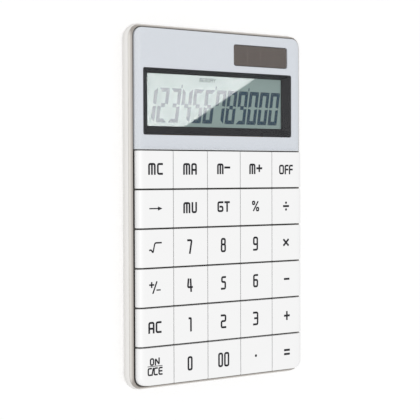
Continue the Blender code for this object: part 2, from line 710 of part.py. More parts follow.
def smooth_route(points, rounds=2):
    """Points along a route whose corners are cut off evenly, round after round."""
    for _ in range(rounds):
        cut = [points[0]]
        for start, end in zip(points, points[1:]):
            for share in (0.25, 0.75):
                cut.append([a + (b - a) * share for a, b in zip(start, end)])
        points = cut + [points[-1]]
    return points


def solar_leads(materials):
    """Two insulated leads from the solar strip to the board, round the display."""
    names = ("solar_lead_positive", "solar_lead_negative")
    run_z = BOARD_TOP + 2 * LEAD_RADIUS
    for index, ((x, y), name) in enumerate(zip(lead_starts(), names)):
        outer = (1 - index) * LEAD_SPACING
        side = LCD_SIDE + 2 * LEAD_RADIUS + outer
        low = BOARD_HIGH - LEAD_BEND - outer
        points = [(x, y, DECK_TOP), (x, y, DECK_BOTTOM),
                  (x, y - LEAD_BEND / 2, DECK_BOTTOM - LEAD_BEND / 2),
                  (side - LEAD_BEND / 2, LCD_HIGH + LEAD_BEND, run_z), (side, LCD_HIGH, run_z),
                  (side, low + LEAD_BEND, run_z), (side - LEAD_BEND, low, run_z),
                  (side - 2 * LEAD_BEND, low, run_z)]
        curve = bpy.data.curves.new(name, "CURVE")
        curve.dimensions = "3D"
        curve.bevel_depth = LEAD_RADIUS
        curve.bevel_resolution = 2
        curve.use_fill_caps = True
        line = curve.splines.new("POLY")
        route = smooth_route(points)
        line.points.add(len(route) - 1)
        for point, place in zip(line.points, route):
            point.co = (*place, 1.0)
        curve.materials.append(materials[index])
        bpy.context.scene.collection.objects.link(bpy.data.objects.new(name, curve))


# ------------------------------------------------------------------ battery

def button_cell(material):
    """The coin-shaped back-up cell in its well."""
    body = bmesh.new()
    rim = CELL_RADIUS - 3 * GAP
    sides = ROUND_SIDES * 2
    levels = [(circle(0, 0, CELL_RADIUS, sides), CELL_BOTTOM),
              (circle(0, 0, CELL_RADIUS, sides), CELL_TOP - 2 * GAP),
              (circle(0, 0, rim, sides), CELL_TOP - 2 * GAP), (circle(0, 0, rim, sides), CELL_TOP)]
    add_stack(body, levels)
    return finished("button_cell", body, material, (CELL_X, CELL_Y, 0), smooth=40)


def contacts(material):
    """The spring over the cell and the one at its side, each led out through the well's notch."""
    half = CONTACT_WIDTH / 2
    wall = WELL_RADIUS + WELL_WALL
    over = CELL_TOP + GAP
    rise = CONTACT_SPRING - 2 * GAP
    spring = [(CELL_RADIUS * 0.6, over + rise), (CELL_RADIUS * 0.2, over), (-CELL_RADIUS * 0.3, over),
              (-wall, over + rise), (-wall - CONTACT_TAIL, over + rise)]
    foot = ROOF_TOP + 2 * GAP
    rest = CELL_RADIUS + GAP
    side = [(-wall - CONTACT_TAIL, foot), (-rest - 2 * CONTACT_THICKNESS, foot),
            (-rest - CONTACT_THICKNESS, foot + CONTACT_THICKNESS), (-rest - CONTACT_THICKNESS, CELL_TOP)]
    for name, profile in (("contact_negative", spring), ("contact_positive", side)):
        body = bmesh.new()
        bent_strip(body, profile, CONTACT_THICKNESS, -half, half)
        strip = finished(name, body, material, (CELL_X, CELL_Y, 0))
        strip.rotation_euler.z = math.pi / 2


def battery_door(material):
    """The sliding door, whose far end follows the shell's rolled edge."""
    body = bmesh.new()
    end = SHELL_END + SHELL_EDGE - CELL_Y
    plate = boxed(-DOOR_HALF, DOOR_HALF, DOOR_LOW - CELL_Y, end, GAP)
    add_prism(body, plate, -FOOT_PROUD, DOOR_TOP)
    door = finished("battery_door", body, material, (CELL_X, CELL_Y, 0))
    skin = bmesh.new()
    add_stack(skin, shell_skin())
    combine(door, cutter("door_trim", skin), "INTERSECT")
    return door


# ------------------------------------------------------------------ assembly

def main():
    """Build every part."""
    for item in list(bpy.data.objects):
        bpy.data.objects.remove(item, do_unlink=True)
    white = new_material("shell_white", (0.83, 0.83, 0.79), 0.25)
    key_white = new_material("key_white", (0.86, 0.86, 0.87), 0.2)
    champagne = new_material("frame_champagne", (0.55, 0.50, 0.46), 0.35)
    black = new_material("deck_black", (0.03, 0.03, 0.032), 0.6)
    clear = new_material("lens_clear", (0.9, 0.92, 0.93), 0.05)
    silver = new_material("panel_silver_blue", (0.62, 0.65, 0.70), 0.3)
    bezel_black = new_material("bezel_black", (0.035, 0.037, 0.043), 0.5)
    lcd_grey = new_material("lcd_grey_green", (0.33, 0.40, 0.36), 0.15)
    solar_brown = new_material("solar_brown", (0.09, 0.07, 0.065), 0.2)
    rubber = new_material("foot_rubber", (0.06, 0.06, 0.06), 0.8)
    silicone = new_material("sheet_silicone", (0.55, 0.56, 0.57), 0.7)
    board_green = new_material("board_green", (0.03, 0.2, 0.08), 0.5)
    steel = new_material("plated_steel", (0.6, 0.6, 0.6), 0.3, 1.0)
    resin = new_material("resin_black", (0.02, 0.02, 0.02), 0.3)
    film = new_material("ribbon_film", (0.7, 0.5, 0.25), 0.4)
    red = new_material("lead_red", (0.5, 0.03, 0.03), 0.5)
    dark = new_material("lead_black", (0.02, 0.02, 0.02), 0.5)
    rear_shell(white)
    feet(rubber)
    screws(steel)
    front_frame(champagne)
    key_deck(black)
    keys(key_white)
    display_lens(clear)
    display_panel(silver)
    display_bezel(bezel_black)
    lcd_cell(lcd_grey)
    solar_cell(solar_brown)
    keypad_sheet(silicone)
    main_board(board_green)
    chip_cover(resin)
    lcd_ribbon(film)
    solar_leads((red, dark))
    button_cell(steel)
    contacts(steel)
    battery_door(white)


main()
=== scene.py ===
"""The look of a slim calculator with tile keys, and the small studio that shows it.

Each class below makes one sub-assembly and rides its pieces on the bodies of that
model. Lengths are in millimetres in the classes and in metres in Blender.
"""
import json
import logging
import math
from contextlib import contextmanager
from dataclasses import dataclass, field
from enum import Enum
from typing import Callable, Iterator, Optional, Sequence, Union

import bmesh
import bpy
from mathutils import Matrix, Vector

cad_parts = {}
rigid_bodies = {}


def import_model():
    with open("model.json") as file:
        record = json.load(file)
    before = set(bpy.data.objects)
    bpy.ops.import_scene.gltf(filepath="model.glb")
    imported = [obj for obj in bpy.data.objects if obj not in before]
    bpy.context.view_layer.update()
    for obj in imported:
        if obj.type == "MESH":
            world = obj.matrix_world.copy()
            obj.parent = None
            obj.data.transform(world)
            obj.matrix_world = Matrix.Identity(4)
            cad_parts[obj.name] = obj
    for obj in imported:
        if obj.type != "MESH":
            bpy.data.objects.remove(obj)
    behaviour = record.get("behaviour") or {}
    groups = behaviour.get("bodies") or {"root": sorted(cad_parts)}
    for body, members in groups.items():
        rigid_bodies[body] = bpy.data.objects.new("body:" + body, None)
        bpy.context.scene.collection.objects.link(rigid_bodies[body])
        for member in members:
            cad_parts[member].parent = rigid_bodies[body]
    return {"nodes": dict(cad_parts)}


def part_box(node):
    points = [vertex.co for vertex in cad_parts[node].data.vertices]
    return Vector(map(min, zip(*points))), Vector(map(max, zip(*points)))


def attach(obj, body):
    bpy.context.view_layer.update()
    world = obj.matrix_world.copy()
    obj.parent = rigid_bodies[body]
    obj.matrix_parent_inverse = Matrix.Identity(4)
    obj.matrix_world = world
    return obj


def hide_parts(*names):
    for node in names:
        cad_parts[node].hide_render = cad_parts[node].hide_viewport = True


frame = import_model()

log = logging.getLogger("calculator")
MM = 0.001
Colour = tuple[float, float, float]
Point = tuple[float, float]
Item = bpy.types.Object


# ------------------------------------------------------------------ shader maths

class Wire:
    """One output socket of a shader, which Python expressions can combine."""

    def __init__(self, graph: "Graph", socket: bpy.types.NodeSocket) -> None:
        """Hold a socket of a graph."""
        self.graph = graph
        self.socket = socket

    def _maths(self, operation: str, first: "Value", second: "Value" = 0.0) -> "Wire":
        """Add one Math node."""
        return self.graph.node("ShaderNodeMath", {"operation": operation}, {0: first, 1: second})

    def __add__(self, other: "Value") -> "Wire":
        """Sum of two values."""
        return self._maths("ADD", self, other)

    def __radd__(self, other: "Value") -> "Wire":
        """Sum, with the number first."""
        return self._maths("ADD", other, self)

    def __sub__(self, other: "Value") -> "Wire":
        """Difference of two values."""
        return self._maths("SUBTRACT", self, other)

    def __rsub__(self, other: "Value") -> "Wire":
        """Difference, with the number first."""
        return self._maths("SUBTRACT", other, self)

    def __mul__(self, other: "Value") -> "Wire":
        """Product of two values."""
        return self._maths("MULTIPLY", self, other)

    def __rmul__(self, other: "Value") -> "Wire":
        """Product, with the number first."""
        return self._maths("MULTIPLY", other, self)

    def __truediv__(self, other: "Value") -> "Wire":
        """Quotient of two values."""
        return self._maths("DIVIDE", self, other)

    def __gt__(self, other: "Value") -> "Wire":
        """One where this value is the larger, otherwise zero."""
        return self._maths("GREATER_THAN", self, other)

    def __lt__(self, other: "Value") -> "Wire":
        """One where this value is the smaller, otherwise zero."""
        return self._maths("LESS_THAN", self, other)

    def __abs__(self) -> "Wire":
        """Size of the value without its sign."""
        return self._maths("ABSOLUTE", self)

    def largest(self, other: "Value") -> "Wire":
        """Larger of two values."""
        return self._maths("MAXIMUM", self, other)

    def fraction(self) -> "Wire":
        """Part of the value after the decimal point."""
        return self._maths("FRACT", self)

    def ramp(self, start: float, end: float, low: float = 0.0, high: float = 1.0) -> "Wire":
        """Map a span of the value smoothly to another.

        Args:
            start: Value that gives low.
            end: Value that gives high.
            low: First result.
            high: Last result.

        Returns:
            The mapped value.
        """
        return self.graph.node("ShaderNodeMapRange", {"interpolation_type": "SMOOTHSTEP"},
                               {"Value": self, "From Min": start, "From Max": end,
                                "To Min": low, "To Max": high})


Value = Union[Wire, float, int, Sequence[float]]


class Graph:
    """The node tree of one material."""

    def __init__(self, name: str) -> None:
        """Make a material with one Principled shader.

        Args:
            name: The name to give.
        """
        self.material = bpy.data.materials.new(name)
        self.material.use_nodes = True
        self.tree = self.material.node_tree
        self.shader = self.tree.nodes["Principled BSDF"]

    def node(self, kind: str, settings: Optional[dict] = None, sockets: Optional[dict] = None,
             output: Union[int, str] = 0) -> Wire:
        """Add any node.

        Args:
            kind: The node's type.
            settings: Its own settings, which are set first.
            sockets: Values or wires for its inputs.
            output: Which of its outputs to hand back.

        Returns:
            The chosen output.
        """
        made = self.tree.nodes.new(kind)
        for key, value in (settings or {}).items():
            setattr(made, key, value)
        for key, value in (sockets or {}).items():
            self.feed(made.inputs[key], value)
        return Wire(self, made.outputs[output])

    def feed(self, socket: bpy.types.NodeSocket, value: Value) -> None:
        """Link a wire to a socket, or set the socket's own value.

        Args:
            socket: The input socket.
            value: A wire, or the value to set.
        """
        if isinstance(value, Wire):
            self.tree.links.new(value.socket, socket)
        else:
            socket.default_value = value

    def place(self) -> Wire:
        """Position on the piece, in metres."""
        return self.node("ShaderNodeTexCoord", output="Object")

    def axes(self) -> tuple[Wire, Wire, Wire]:
        """Position on the piece as three values, in metres.

        Returns:
            The three values, along X, Y and Z.
        """
        split = self.tree.nodes.new("ShaderNodeSeparateXYZ")
        self.feed(split.inputs[0], self.place())
        return tuple(Wire(self, output) for output in split.outputs)

    def noise(self, scale: float, detail: float = 2.0, stretch: Sequence[float] = (1, 1, 1)) -> Wire:
        """Soft random value on the piece.

        Args:
            scale: Features in each metre.
            detail: Layers of finer noise.
            stretch: Scale along each axis.

        Returns:
            The noise, from 0 to 1.
        """
        spread = self.node("ShaderNodeMapping", {}, {"Vector": self.place(), "Scale": stretch})
        return self.node("ShaderNodeTexNoise", {}, {"Vector": spread, "Scale": scale, "Detail": detail})

    def blend(self, share: Value, first: Sequence[float], second: Sequence[float]) -> Wire:
        """Mix two colours by a share.

        Args:
            share: Share of the second colour.
            first: Colour at a share of zero.
            second: Colour at a share of one.

        Returns:
            The mixed colour.
        """
        made = self.tree.nodes.new("ShaderNodeMix")
        made.data_type = "RGBA"
        for index, value in ((0, share), (6, first), (7, second)):
            self.feed(made.inputs[index], value)
        return Wire(self, made.outputs[2])

    def bump(self, height: Value, strength: float, depth: float) -> Wire:
        """Turn a height into a normal."""
        return self.node("ShaderNodeBump", {}, {"Height": height, "Strength": strength, "Distance": depth})


# ----------------------------------------------------------------------- finishes

@dataclass(frozen=True)
class Finish:
    """A surface with a slightly uneven tone and gloss and a fine moulded texture."""

    name: str
    colour: Colour
    roughness: float = 0.4
    metallic: float = 0.0
    specular: float = 0.5
    mottle: float = 0.015
    mottle_scale: float = 90.0
    grain: float = 0.08
    grain_scale: float = 4000.0
    grain_depth: float = 4e-6

    def shades(self) -> tuple[Sequence[float], Sequence[float]]:
        """Darkest and lightest tone of the surface."""
        return tuple((*(min(1.0, c * (1 + sign * self.mottle)) for c in self.colour), 1.0)
                     for sign in (-1, 1))

    def build(self) -> bpy.types.Material:
        """Make the material.

        Returns:
            The finished material.
        """
        graph = Graph(self.name)
        shader = graph.shader
        cloud = graph.noise(self.mottle_scale, 3.0)
        grain = graph.noise(self.grain_scale, 2.0)
        shader.inputs["Metallic"].default_value = self.metallic
        shader.inputs["Specular IOR Level"].default_value = self.specular
        graph.feed(shader.inputs["Base Color"], graph.blend(cloud, *self.shades()))
        graph.feed(shader.inputs["Roughness"], cloud.ramp(0.2, 0.8, self.roughness * 0.92, self.roughness * 1.08))
        graph.feed(shader.inputs["Normal"], graph.bump(grain, self.grain, self.grain_depth))
        self.dress(graph)
        return graph.material

    def dress(self, graph: Graph) -> None:
        """Add what is special to this finish."""


@dataclass(frozen=True)
class FlakePaint(Finish):
    """Silver paint whose flakes vary in tone."""

    def dress(self, graph: Graph) -> None:
        """Scatter fine flakes over the paint.

        Args:
            graph: The material's node tree.
        """
        flakes = graph.noise(9000.0, 1.0).ramp(0.45, 0.7)
        dark, light = self.shades()
        pale = tuple(min(1.0, c * 1.12) for c in light[:3]) + (1.0,)
        graph.feed(graph.shader.inputs["Base Color"], graph.blend(flakes, dark, pale))


@dataclass(frozen=True)
class LipHighlightPaint(Finish):
    """Satin champagne paint with a painted highlight: it turns paler where the lip rolls outwards, standing in for the
    light on that roll.
    """

    inner: Point = (0.0489, 0.08153)
    reach: float = 0.00135
    # pale: colour of the painted highlight on the outer roll
    pale: Colour = (0.74, 0.715, 0.675)

    def dress(self, graph: Graph) -> None:
        """Paint the highlight: lighten the paint from the inner edge to the outer one.

        Args:
            graph: The material's node tree.
        """
        across, along, _ = graph.axes()
        side = abs(across) - self.inner[0]
        end = abs(along) - self.inner[1]
        share = side.largest(end).ramp(0.0002, self.reach)
        graph.feed(graph.shader.inputs["Base Color"], graph.blend(share, (*self.colour, 1.0), (*self.pale, 1.0)))


@dataclass(frozen=True)
class ClearCover(Finish):
    """Clear acrylic whose pale body is made to show only where its sides roll over and along its near edge: a painted
    highlight standing in for the reflections on those edges.
    """

    half_width: float = 0.0484
    rolled: float = 0.0036
    haze: float = 0.012
    rim_highlight: float = 0.16
    near: float = 0.02614
    near_highlight: float = 0.5

    def dress(self, graph: Graph) -> None:
        """Paint the highlight: make the cover more opaque towards its rolled sides and at its near edge.

        Args:
            graph: The material's node tree.
        """
        across, along, _ = graph.axes()
        side = abs(across).ramp(self.half_width - self.rolled * 0.8, self.half_width, self.haze, self.rim_highlight)
        front = along.ramp(self.near + 0.0005, self.near, 0.0, self.near_highlight)
        # more opacity on the pale cover paints a highlight on the rolled sides and the near edge
        graph.feed(graph.shader.inputs["Alpha"], side.largest(front))


@dataclass(frozen=True)
class SolarFilm(Finish):
    """Brown thin film on glass, with fine lines between its cells."""

    left: float = 0.0083
    cell: float = 0.00815
    line: float = 0.00018
    line_colour: Colour = (0.2, 0.17, 0.15)

    def dress(self, graph: Graph) -> None:
        """Draw the lines between the cells.

        Args:
            graph: The material's node tree.
        """
        across = (graph.axes()[0] - self.left) / self.cell
        near = abs(across.fraction() - 0.5) > 0.5 - self.line / self.cell / 2
        tone = graph.blend(graph.noise(160.0, 3.0), *self.shades())
        graph.feed(graph.shader.inputs["Base Color"], graph.blend(near * 0.5, tone, (*self.line_colour, 1.0)))


@dataclass(frozen=True)
class Laminate(Finish):
    """Green circuit board with copper tracks under its lacquer."""

    pitch: float = 0.0021
    track: Colour = (0.09, 0.34, 0.14)

    def dress(self, graph: Graph) -> None:
        """Run tracks along the board, broken at random.

        Args:
            graph: The material's node tree.
        """
        across, along, _ = graph.axes()
        lane = (across / self.pitch).fraction()
        gate = graph.noise(70.0, 0.0, (6, 1, 1)) > 0.48
        mask = (abs(lane - 0.5) < 0.16) * gate
        graph.feed(graph.shader.inputs["Base Color"], graph.blend(mask, (*self.colour, 1.0), (*self.track, 1.0)))
        graph.feed(graph.shader.inputs["Normal"], graph.bump(mask, 0.4, 3e-5))


@dataclass(frozen=True)
class TurnedSteel(Finish):
    """Plated steel with fine drawn lines."""

    def dress(self, graph: Graph) -> None:
        """Stretch the grain into drawn lines.

        Args:
            graph: The material's node tree.
        """
        lines = graph.noise(1500.0, 2.0, (12, 1, 1))
        graph.feed(graph.shader.inputs["Roughness"], lines.ramp(0.3, 0.7, self.roughness * 0.8, self.roughness * 1.25))
        graph.feed(graph.shader.inputs["Normal"], graph.bump(lines, 0.15, 3e-6))


class Look(Enum):
    """Every finish on the calculator."""

    SHELL = Finish("shell_white", (0.77, 0.755, 0.735), 0.3)
    KEY = Finish("key_white", (0.82, 0.82, 0.82), 0.42, specular=0.35, mottle=0.008)
    # near-black skirt under each cap: painted shade for the gaps below the caps and between the rows
    SKIRT = Finish("key_skirt_painted_shade", (0.012, 0.012, 0.012), 0.6, specular=0.2)
    INK = Finish("legend_ink", (0.018, 0.018, 0.022), 0.5, specular=0.15, grain_scale=9000.0)
    # champagne lip whose outer roll carries a painted highlight
    FRAME = LipHighlightPaint("frame_champagne", (0.34, 0.312, 0.285), 0.38, metallic=0.1)
    # dark plastic deck, its darkness also set as painted shade so the grooves between the keys look dark
    DECK = Finish("deck_black", (0.11, 0.107, 0.1), 0.65, specular=0.2)
    # clear cover with a painted highlight on its rolled sides and near edge
    COVER = ClearCover("cover_clear", (0.9, 0.92, 0.94), 0.06, specular=0.1, mottle=0.0, grain=0.0)
    PANEL = FlakePaint("panel_silver_blue", (0.585, 0.612, 0.652), 0.45, metallic=0.0, specular=0.2, mottle=0.01)
    BEZEL = Finish("bezel_black", (0.009, 0.009, 0.011), 0.5, specular=0.15)
    LCD = Finish("lcd_glass", (0.205, 0.276, 0.262), 0.02, specular=0.5, mottle=0.01, grain=0.0)
    SEGMENT = Finish("lcd_segment", (0.006, 0.032, 0.055), 0.02, specular=0.5, mottle=0.05, grain=0.0)
    SOLAR = SolarFilm("solar_film", (0.088, 0.071, 0.062), 0.12, specular=0.4, mottle=0.08)
    RUBBER = Finish("foot_rubber", (0.05, 0.05, 0.052), 0.85, mottle=0.1, grain=0.3, grain_depth=2e-5)
    SILICONE = Finish("sheet_silicone", (0.5, 0.51, 0.52), 0.65, mottle=0.04)
    BOARD = Laminate("board_green", (0.03, 0.19, 0.07), 0.35)
    STEEL = TurnedSteel("plated_steel", (0.62, 0.62, 0.6), 0.28, metallic=1.0)
    RESIN = Finish("resin_black", (0.02, 0.02, 0.02), 0.22, mottle=0.2)
    FILM = Finish("ribbon_film", (0.62, 0.42, 0.18), 0.3, mottle=0.05)
    LEAD_RED = Finish("lead_red", (0.5, 0.03, 0.03), 0.4)
    LEAD_BLACK = Finish("lead_black", (0.02, 0.02, 0.02), 0.4)


class Paints:
    """Makes each finish once and puts it on pieces."""

    def __init__(self) -> None:
        """Start with nothing mixed."""
        self.mixed: dict[Look, bpy.types.Material] = {}

    def get(self, look: Look) -> bpy.types.Material:
        """Return a finish's material, made when first asked for.

        Args:
            look: The finish wanted.

        Returns:
            The material.
        """
        if look not in self.mixed:
            self.mixed[look] = look.value.build()
        return self.mixed[look]

    def coat(self, item: Item, look: Look) -> Item:
        """Give a piece one finish all over.

        Args:
            item: The piece.
            look: Its finish.

        Returns:
            The same piece.
        """
        if not item.data.materials:
            item.data.materials.append(None)
        for index in range(len(item.data.materials)):
            item.data.materials[index] = self.get(look)
        return item


# -------------------------------------------------------------------- hand tools

@dataclass(frozen=True)
class Level:
    """One outline of a raised shape: its height, and how far each side is drawn in."""

    height: float
    left: float = 0.0
    right: float = 0.0
    near: float = 0.0
    far: float = 0.0


@dataclass(frozen=True)
class Roll:
    """The rolled side that the outer keys share with the display's cover."""

    top: float = 13.0
    width: float = 3.6
    drop: float = 1.8
    edge: float = 0.25
    steps: int = 10

    def levels(self, left: bool, right: bool) -> list[Level]:
        """List the outlines of a rolled shape from its side up to its face.

        Args:
            left: Whether its left side rolls over.
            right: Whether its right side rolls over.

        Returns:
            The levels.
        """
        made = []
        for step in range(self.steps + 1):
            turn = math.pi / 2 * (1 - step / self.steps)
            drop = self.drop * (1 - math.cos(turn))
            side = self.width * (1 - math.sin(turn))
            inside = max(0.0, 1 - drop / self.edge)
            end = self.edge * (1 - math.sqrt(1 - inside ** 2))
            made.append(Level(self.top - drop, side if left else end, side if right else end, end, end))
        return made


class Bench:
    """Blender's own tools, used by selecting edges and faces by their place."""

    @staticmethod
    def only(item: Optional[Item] = None) -> None:
        """Select one object, or nothing.

        Args:
            item: The object.
        """
        bpy.ops.object.select_all(action="DESELECT")
        if item:
            item.select_set(True)
        bpy.context.view_layer.objects.active = item

    @staticmethod
    @contextmanager
    def editing(item: Item, mode: str = "VERT") -> Iterator[None]:
        """Work on a mesh with nothing selected at first.

        Args:
            item: The object.
            mode: VERT, EDGE or FACE.

        Returns:
            Nothing, while the mesh is open.
        """
        Bench.only(item)
        bpy.ops.object.mode_set(mode="EDIT")
        bpy.ops.mesh.select_mode(type=mode)
        bpy.ops.mesh.select_all(action="DESELECT")
        yield
        bpy.ops.object.mode_set(mode="OBJECT")

    @staticmethod
    def pick(item: Item, kind: str, test: Callable[[Vector], bool]) -> int:
        """Select the parts of a mesh in edit mode whose middle passes a test.

        Args:
            item: The object in edit mode.
            kind: VERT, EDGE or FACE.
            test: Says whether a point is wanted.

        Returns:
            How many were selected.
        """
        bpy.ops.mesh.select_mode(type=kind)
        bpy.ops.mesh.select_all(action="DESELECT")
        mesh = bmesh.from_edit_mesh(item.data)
        parts = {"VERT": mesh.verts, "EDGE": mesh.edges, "FACE": mesh.faces}[kind]
        count = 0
        for part in parts:
            if kind == "VERT":
                middle = part.co
            elif kind == "EDGE":
                middle = (part.verts[0].co + part.verts[1].co) / 2
            else:
                middle = part.calc_center_median()
            if test(middle):
                part.select_set(True)
                count += 1
        mesh.select_flush_mode()
        bmesh.update_edit_mesh(item.data)
        return count

    @staticmethod
    def settle(item: Item) -> Item:
        """Put an object's place, turn and size into its mesh.

        Args:
            item: The object.

        Returns:
            The same object.
        """
        Bench.only(item)
        bpy.ops.object.transform_apply(location=True, rotation=True, scale=True)
        return item

    @staticmethod
    def slab(name: str, low: Sequence[float], high: Sequence[float]) -> Item:
        """Add a block between two corners, in millimetres.

        Args:
            name: The name to give.
            low: Lower corner.
            high: Upper corner.

        Returns:
            The block.
        """
        Bench.only()
        middle = [(a + b) / 2 * MM for a, b in zip(low, high)]
        bpy.ops.mesh.primitive_cube_add(size=1, location=middle)
        item = bpy.context.object
        item.name = name
        item.scale = [(b - a) * MM for a, b in zip(low, high)]
        return Bench.settle(item)

    @staticmethod
    def sheet(name: str, low: Point, high: Point, height: float, radii: dict[Point, float],
              segments: int = 8) -> Item:
        """Add a flat outline with rounded corners.

        Args:
            name: Its name.
            low: Lower left corner, in millimetres.
            high: Upper right corner.
            height: Its height.
            radii: Corner radius by corner, named by its signs.
            segments: Segments in each corner.

        Returns:
            The flat piece.
        """
        Bench.only()
        middle = ((low[0] + high[0]) / 2, (low[1] + high[1]) / 2)
        bpy.ops.mesh.primitive_plane_add(size=1, location=(middle[0] * MM, middle[1] * MM, height * MM))
        item = bpy.context.object
        item.name = name
        item.scale = ((high[0] - low[0]) * MM, (high[1] - low[1]) * MM, 1)
        Bench.settle(item)
        for (side, end), radius in radii.items():
            def corner(spot: Vector, side: float = side, end: float = end) -> bool:
                """Whether a point is the corner in hand.

                Args:
                    spot: The point to test.
                    side: Sign of the corner along X.
                    end: Sign of the corner along Y.

                Returns:
                    Whether the point is that corner.
                """
                x = spot.x - middle[0] * MM
                y = spot.y - middle[1] * MM
                far_x = abs(abs(x) - (high[0] - low[0]) / 2 * MM) < 1e-7
                far_y = abs(abs(y) - (high[1] - low[1]) / 2 * MM) < 1e-7
                return far_x and far_y and x * side > 0 and y * end > 0
            with Bench.editing(item):
                Bench.pick(item, "VERT", corner)
                bpy.ops.mesh.bevel(offset=radius * MM, segments=segments, affect="VERTICES")
        return item

    @staticmethod
    def raise_levels(item: Item, levels: Sequence[Level]) -> Item:
        """Extrude a flat outline upwards through a row of levels.

        Args:
            item: The flat piece.
            levels: Levels from the lowest up.

        Returns:
            The raised piece.
        """
        middle = sum((v.co for v in item.data.vertices), Vector()) / len(item.data.vertices)
        corners = [v.co for v in item.data.vertices]
        middle.x = (min(c.x for c in corners) + max(c.x for c in corners)) / 2
        middle.y = (min(c.y for c in corners) + max(c.y for c in corners)) / 2
        now = Level(middle.z / MM)
        with Bench.editing(item, "FACE"):
            for level in levels:
                height = now.height * MM
                Bench.pick(item, "FACE", lambda spot: abs(spot.z - height) < 1e-7)
                lift = (level.height - now.height) * MM
                bpy.ops.mesh.extrude_region_move(TRANSFORM_OT_translate={"value": (0, 0, lift)})
                top = level.height * MM
                moves = (
                    (level.left - now.left, (1, 0), lambda spot: spot.x < middle.x),
                    (level.right - now.right, (-1, 0), lambda spot: spot.x > middle.x),
                    (level.near - now.near, (0, 1), lambda spot: spot.y < middle.y),
                    (level.far - now.far, (0, -1), lambda spot: spot.y > middle.y),
                )
                for amount, way, half in moves:
                    if amount:
                        Bench.pick(item, "VERT", lambda spot: abs(spot.z - top) < 1e-7 and half(spot))
                        shift = (way[0] * amount * MM, way[1] * amount * MM, 0)
                        bpy.ops.mesh.select_mode(type="VERT")
                        bpy.ops.transform.translate(value=shift)
                now = level
            bpy.ops.mesh.select_all(action="SELECT")
            bpy.ops.mesh.normals_make_consistent(inside=False)
        return item

    @staticmethod
    def join(items: Sequence[Item], name: str) -> Item:
        """Join objects into the first one.

        Args:
            items: The objects, the first of which is kept.
            name: The name to give.

        Returns:
            The joined object.
        """
        Bench.only(items[0])
        for item in items:
            item.select_set(True)
        bpy.ops.object.join()
        items[0].name = name
        return items[0]

    @staticmethod
    def copy(item: Item, name: str, shift: Sequence[float] = (0, 0, 0)) -> Item:
        """Copy a piece with its own mesh, moved by some millimetres.

        Args:
            item: The object.
            name: The name to give.
            shift: How far the copy moves.

        Returns:
            The copy.
        """
        Bench.only(item)
        bpy.ops.object.duplicate(linked=False)
        made = bpy.context.object
        made.name = name
        made.location = [value * MM for value in shift]
        return Bench.settle(made)

    @staticmethod
    def rounded(item: Item, width: float, segments: int = 3, angle: float = 30.0) -> Item:
        """Round a piece's sharp edges with a Bevel modifier and apply it.

        Args:
            item: The object.
            width: Width of the rounding.
            segments: Segments across it.
            angle: Angle between faces, in degrees.

        Returns:
            The same object.
        """
        Bench.only(item)
        bevel = item.modifiers.new("edge", "BEVEL")
        bevel.width = width * MM
        bevel.segments = segments
        bevel.limit_method = "ANGLE"
        bevel.angle_limit = math.radians(angle)
        bpy.ops.object.modifier_apply(modifier=bevel.name)
        return item

    @staticmethod
    def cut(item: Item, tool: Item) -> Item:
        """Cut a piece with another, which is used up.

        Args:
            item: The object.
            tool: The cutting object.

        Returns:
            The same object.
        """
        Bench.only(item)
        boolean = item.modifiers.new("cut", "BOOLEAN")
        boolean.solver = "EXACT"
        boolean.object = tool
        bpy.ops.object.modifier_apply(modifier=boolean.name)
        bpy.data.objects.remove(tool, do_unlink=True)
        return item

    @staticmethod
    def smooth(item: Item, angle: float = 35.0) -> Item:
        """Shade a piece smooth, with its sharp edges kept.

        Args:
            item: The object.
            angle: Angle between faces, in degrees.

        Returns:
            The same object.
        """
        Bench.only(item)
        bpy.ops.object.shade_smooth_by_angle(angle=math.radians(angle))
        weighted = item.modifiers.new("weighted", "WEIGHTED_NORMAL")
        weighted.keep_sharp = True
        weighted.weight = 100
        bpy.ops.object.modifier_apply(modifier=weighted.name)
        return item

    @staticmethod
    def refined(node: str, name: str, width: float = 0.0, angle: float = 35.0) -> Item:
        """Copy a measured piece, merge its faces and round its edges.

        Args:
            node: The measured piece.
            name: The copy's name.
            width: Radius of its edges in millimetres, or zero to leave them.
            angle: Largest angle between faces that is shaded smooth.

        Returns:
            The copy.
        """
        made = Bench.copy(frame["nodes"][node], name)
        made.data.materials.clear()
        with Bench.editing(made):
            bpy.ops.mesh.select_all(action="SELECT")
            bpy.ops.mesh.remove_doubles(threshold=1e-6)
            bpy.ops.mesh.dissolve_limited(angle_limit=math.radians(1))
        if width:
            Bench.rounded(made, width, 2, 40)
        return Bench.smooth(made, angle)


def stand_for(piece: Item, body: str, slot: str, *nodes: str) -> None:
    """Ride a piece on its body, in place of measured pieces.

    Args:
        piece: The new piece.
        body: The body it moves with.
        slot: The record's name for its finish; not used.
        nodes: The measured pieces that it stands for.
    """
    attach(piece, body)
    if nodes:
        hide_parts(*nodes)
    log.info("%s: %d faces", piece.name, len(piece.data.polygons))


# ------------------------------------------------------------------------ legends

@dataclass(frozen=True)
class Mark:
    """One sign of a legend: its glyph, its box from the key's middle, and its line width."""

    glyph: str
    left: float
    low: float
    right: float
    high: float
    stroke: float = 0.96


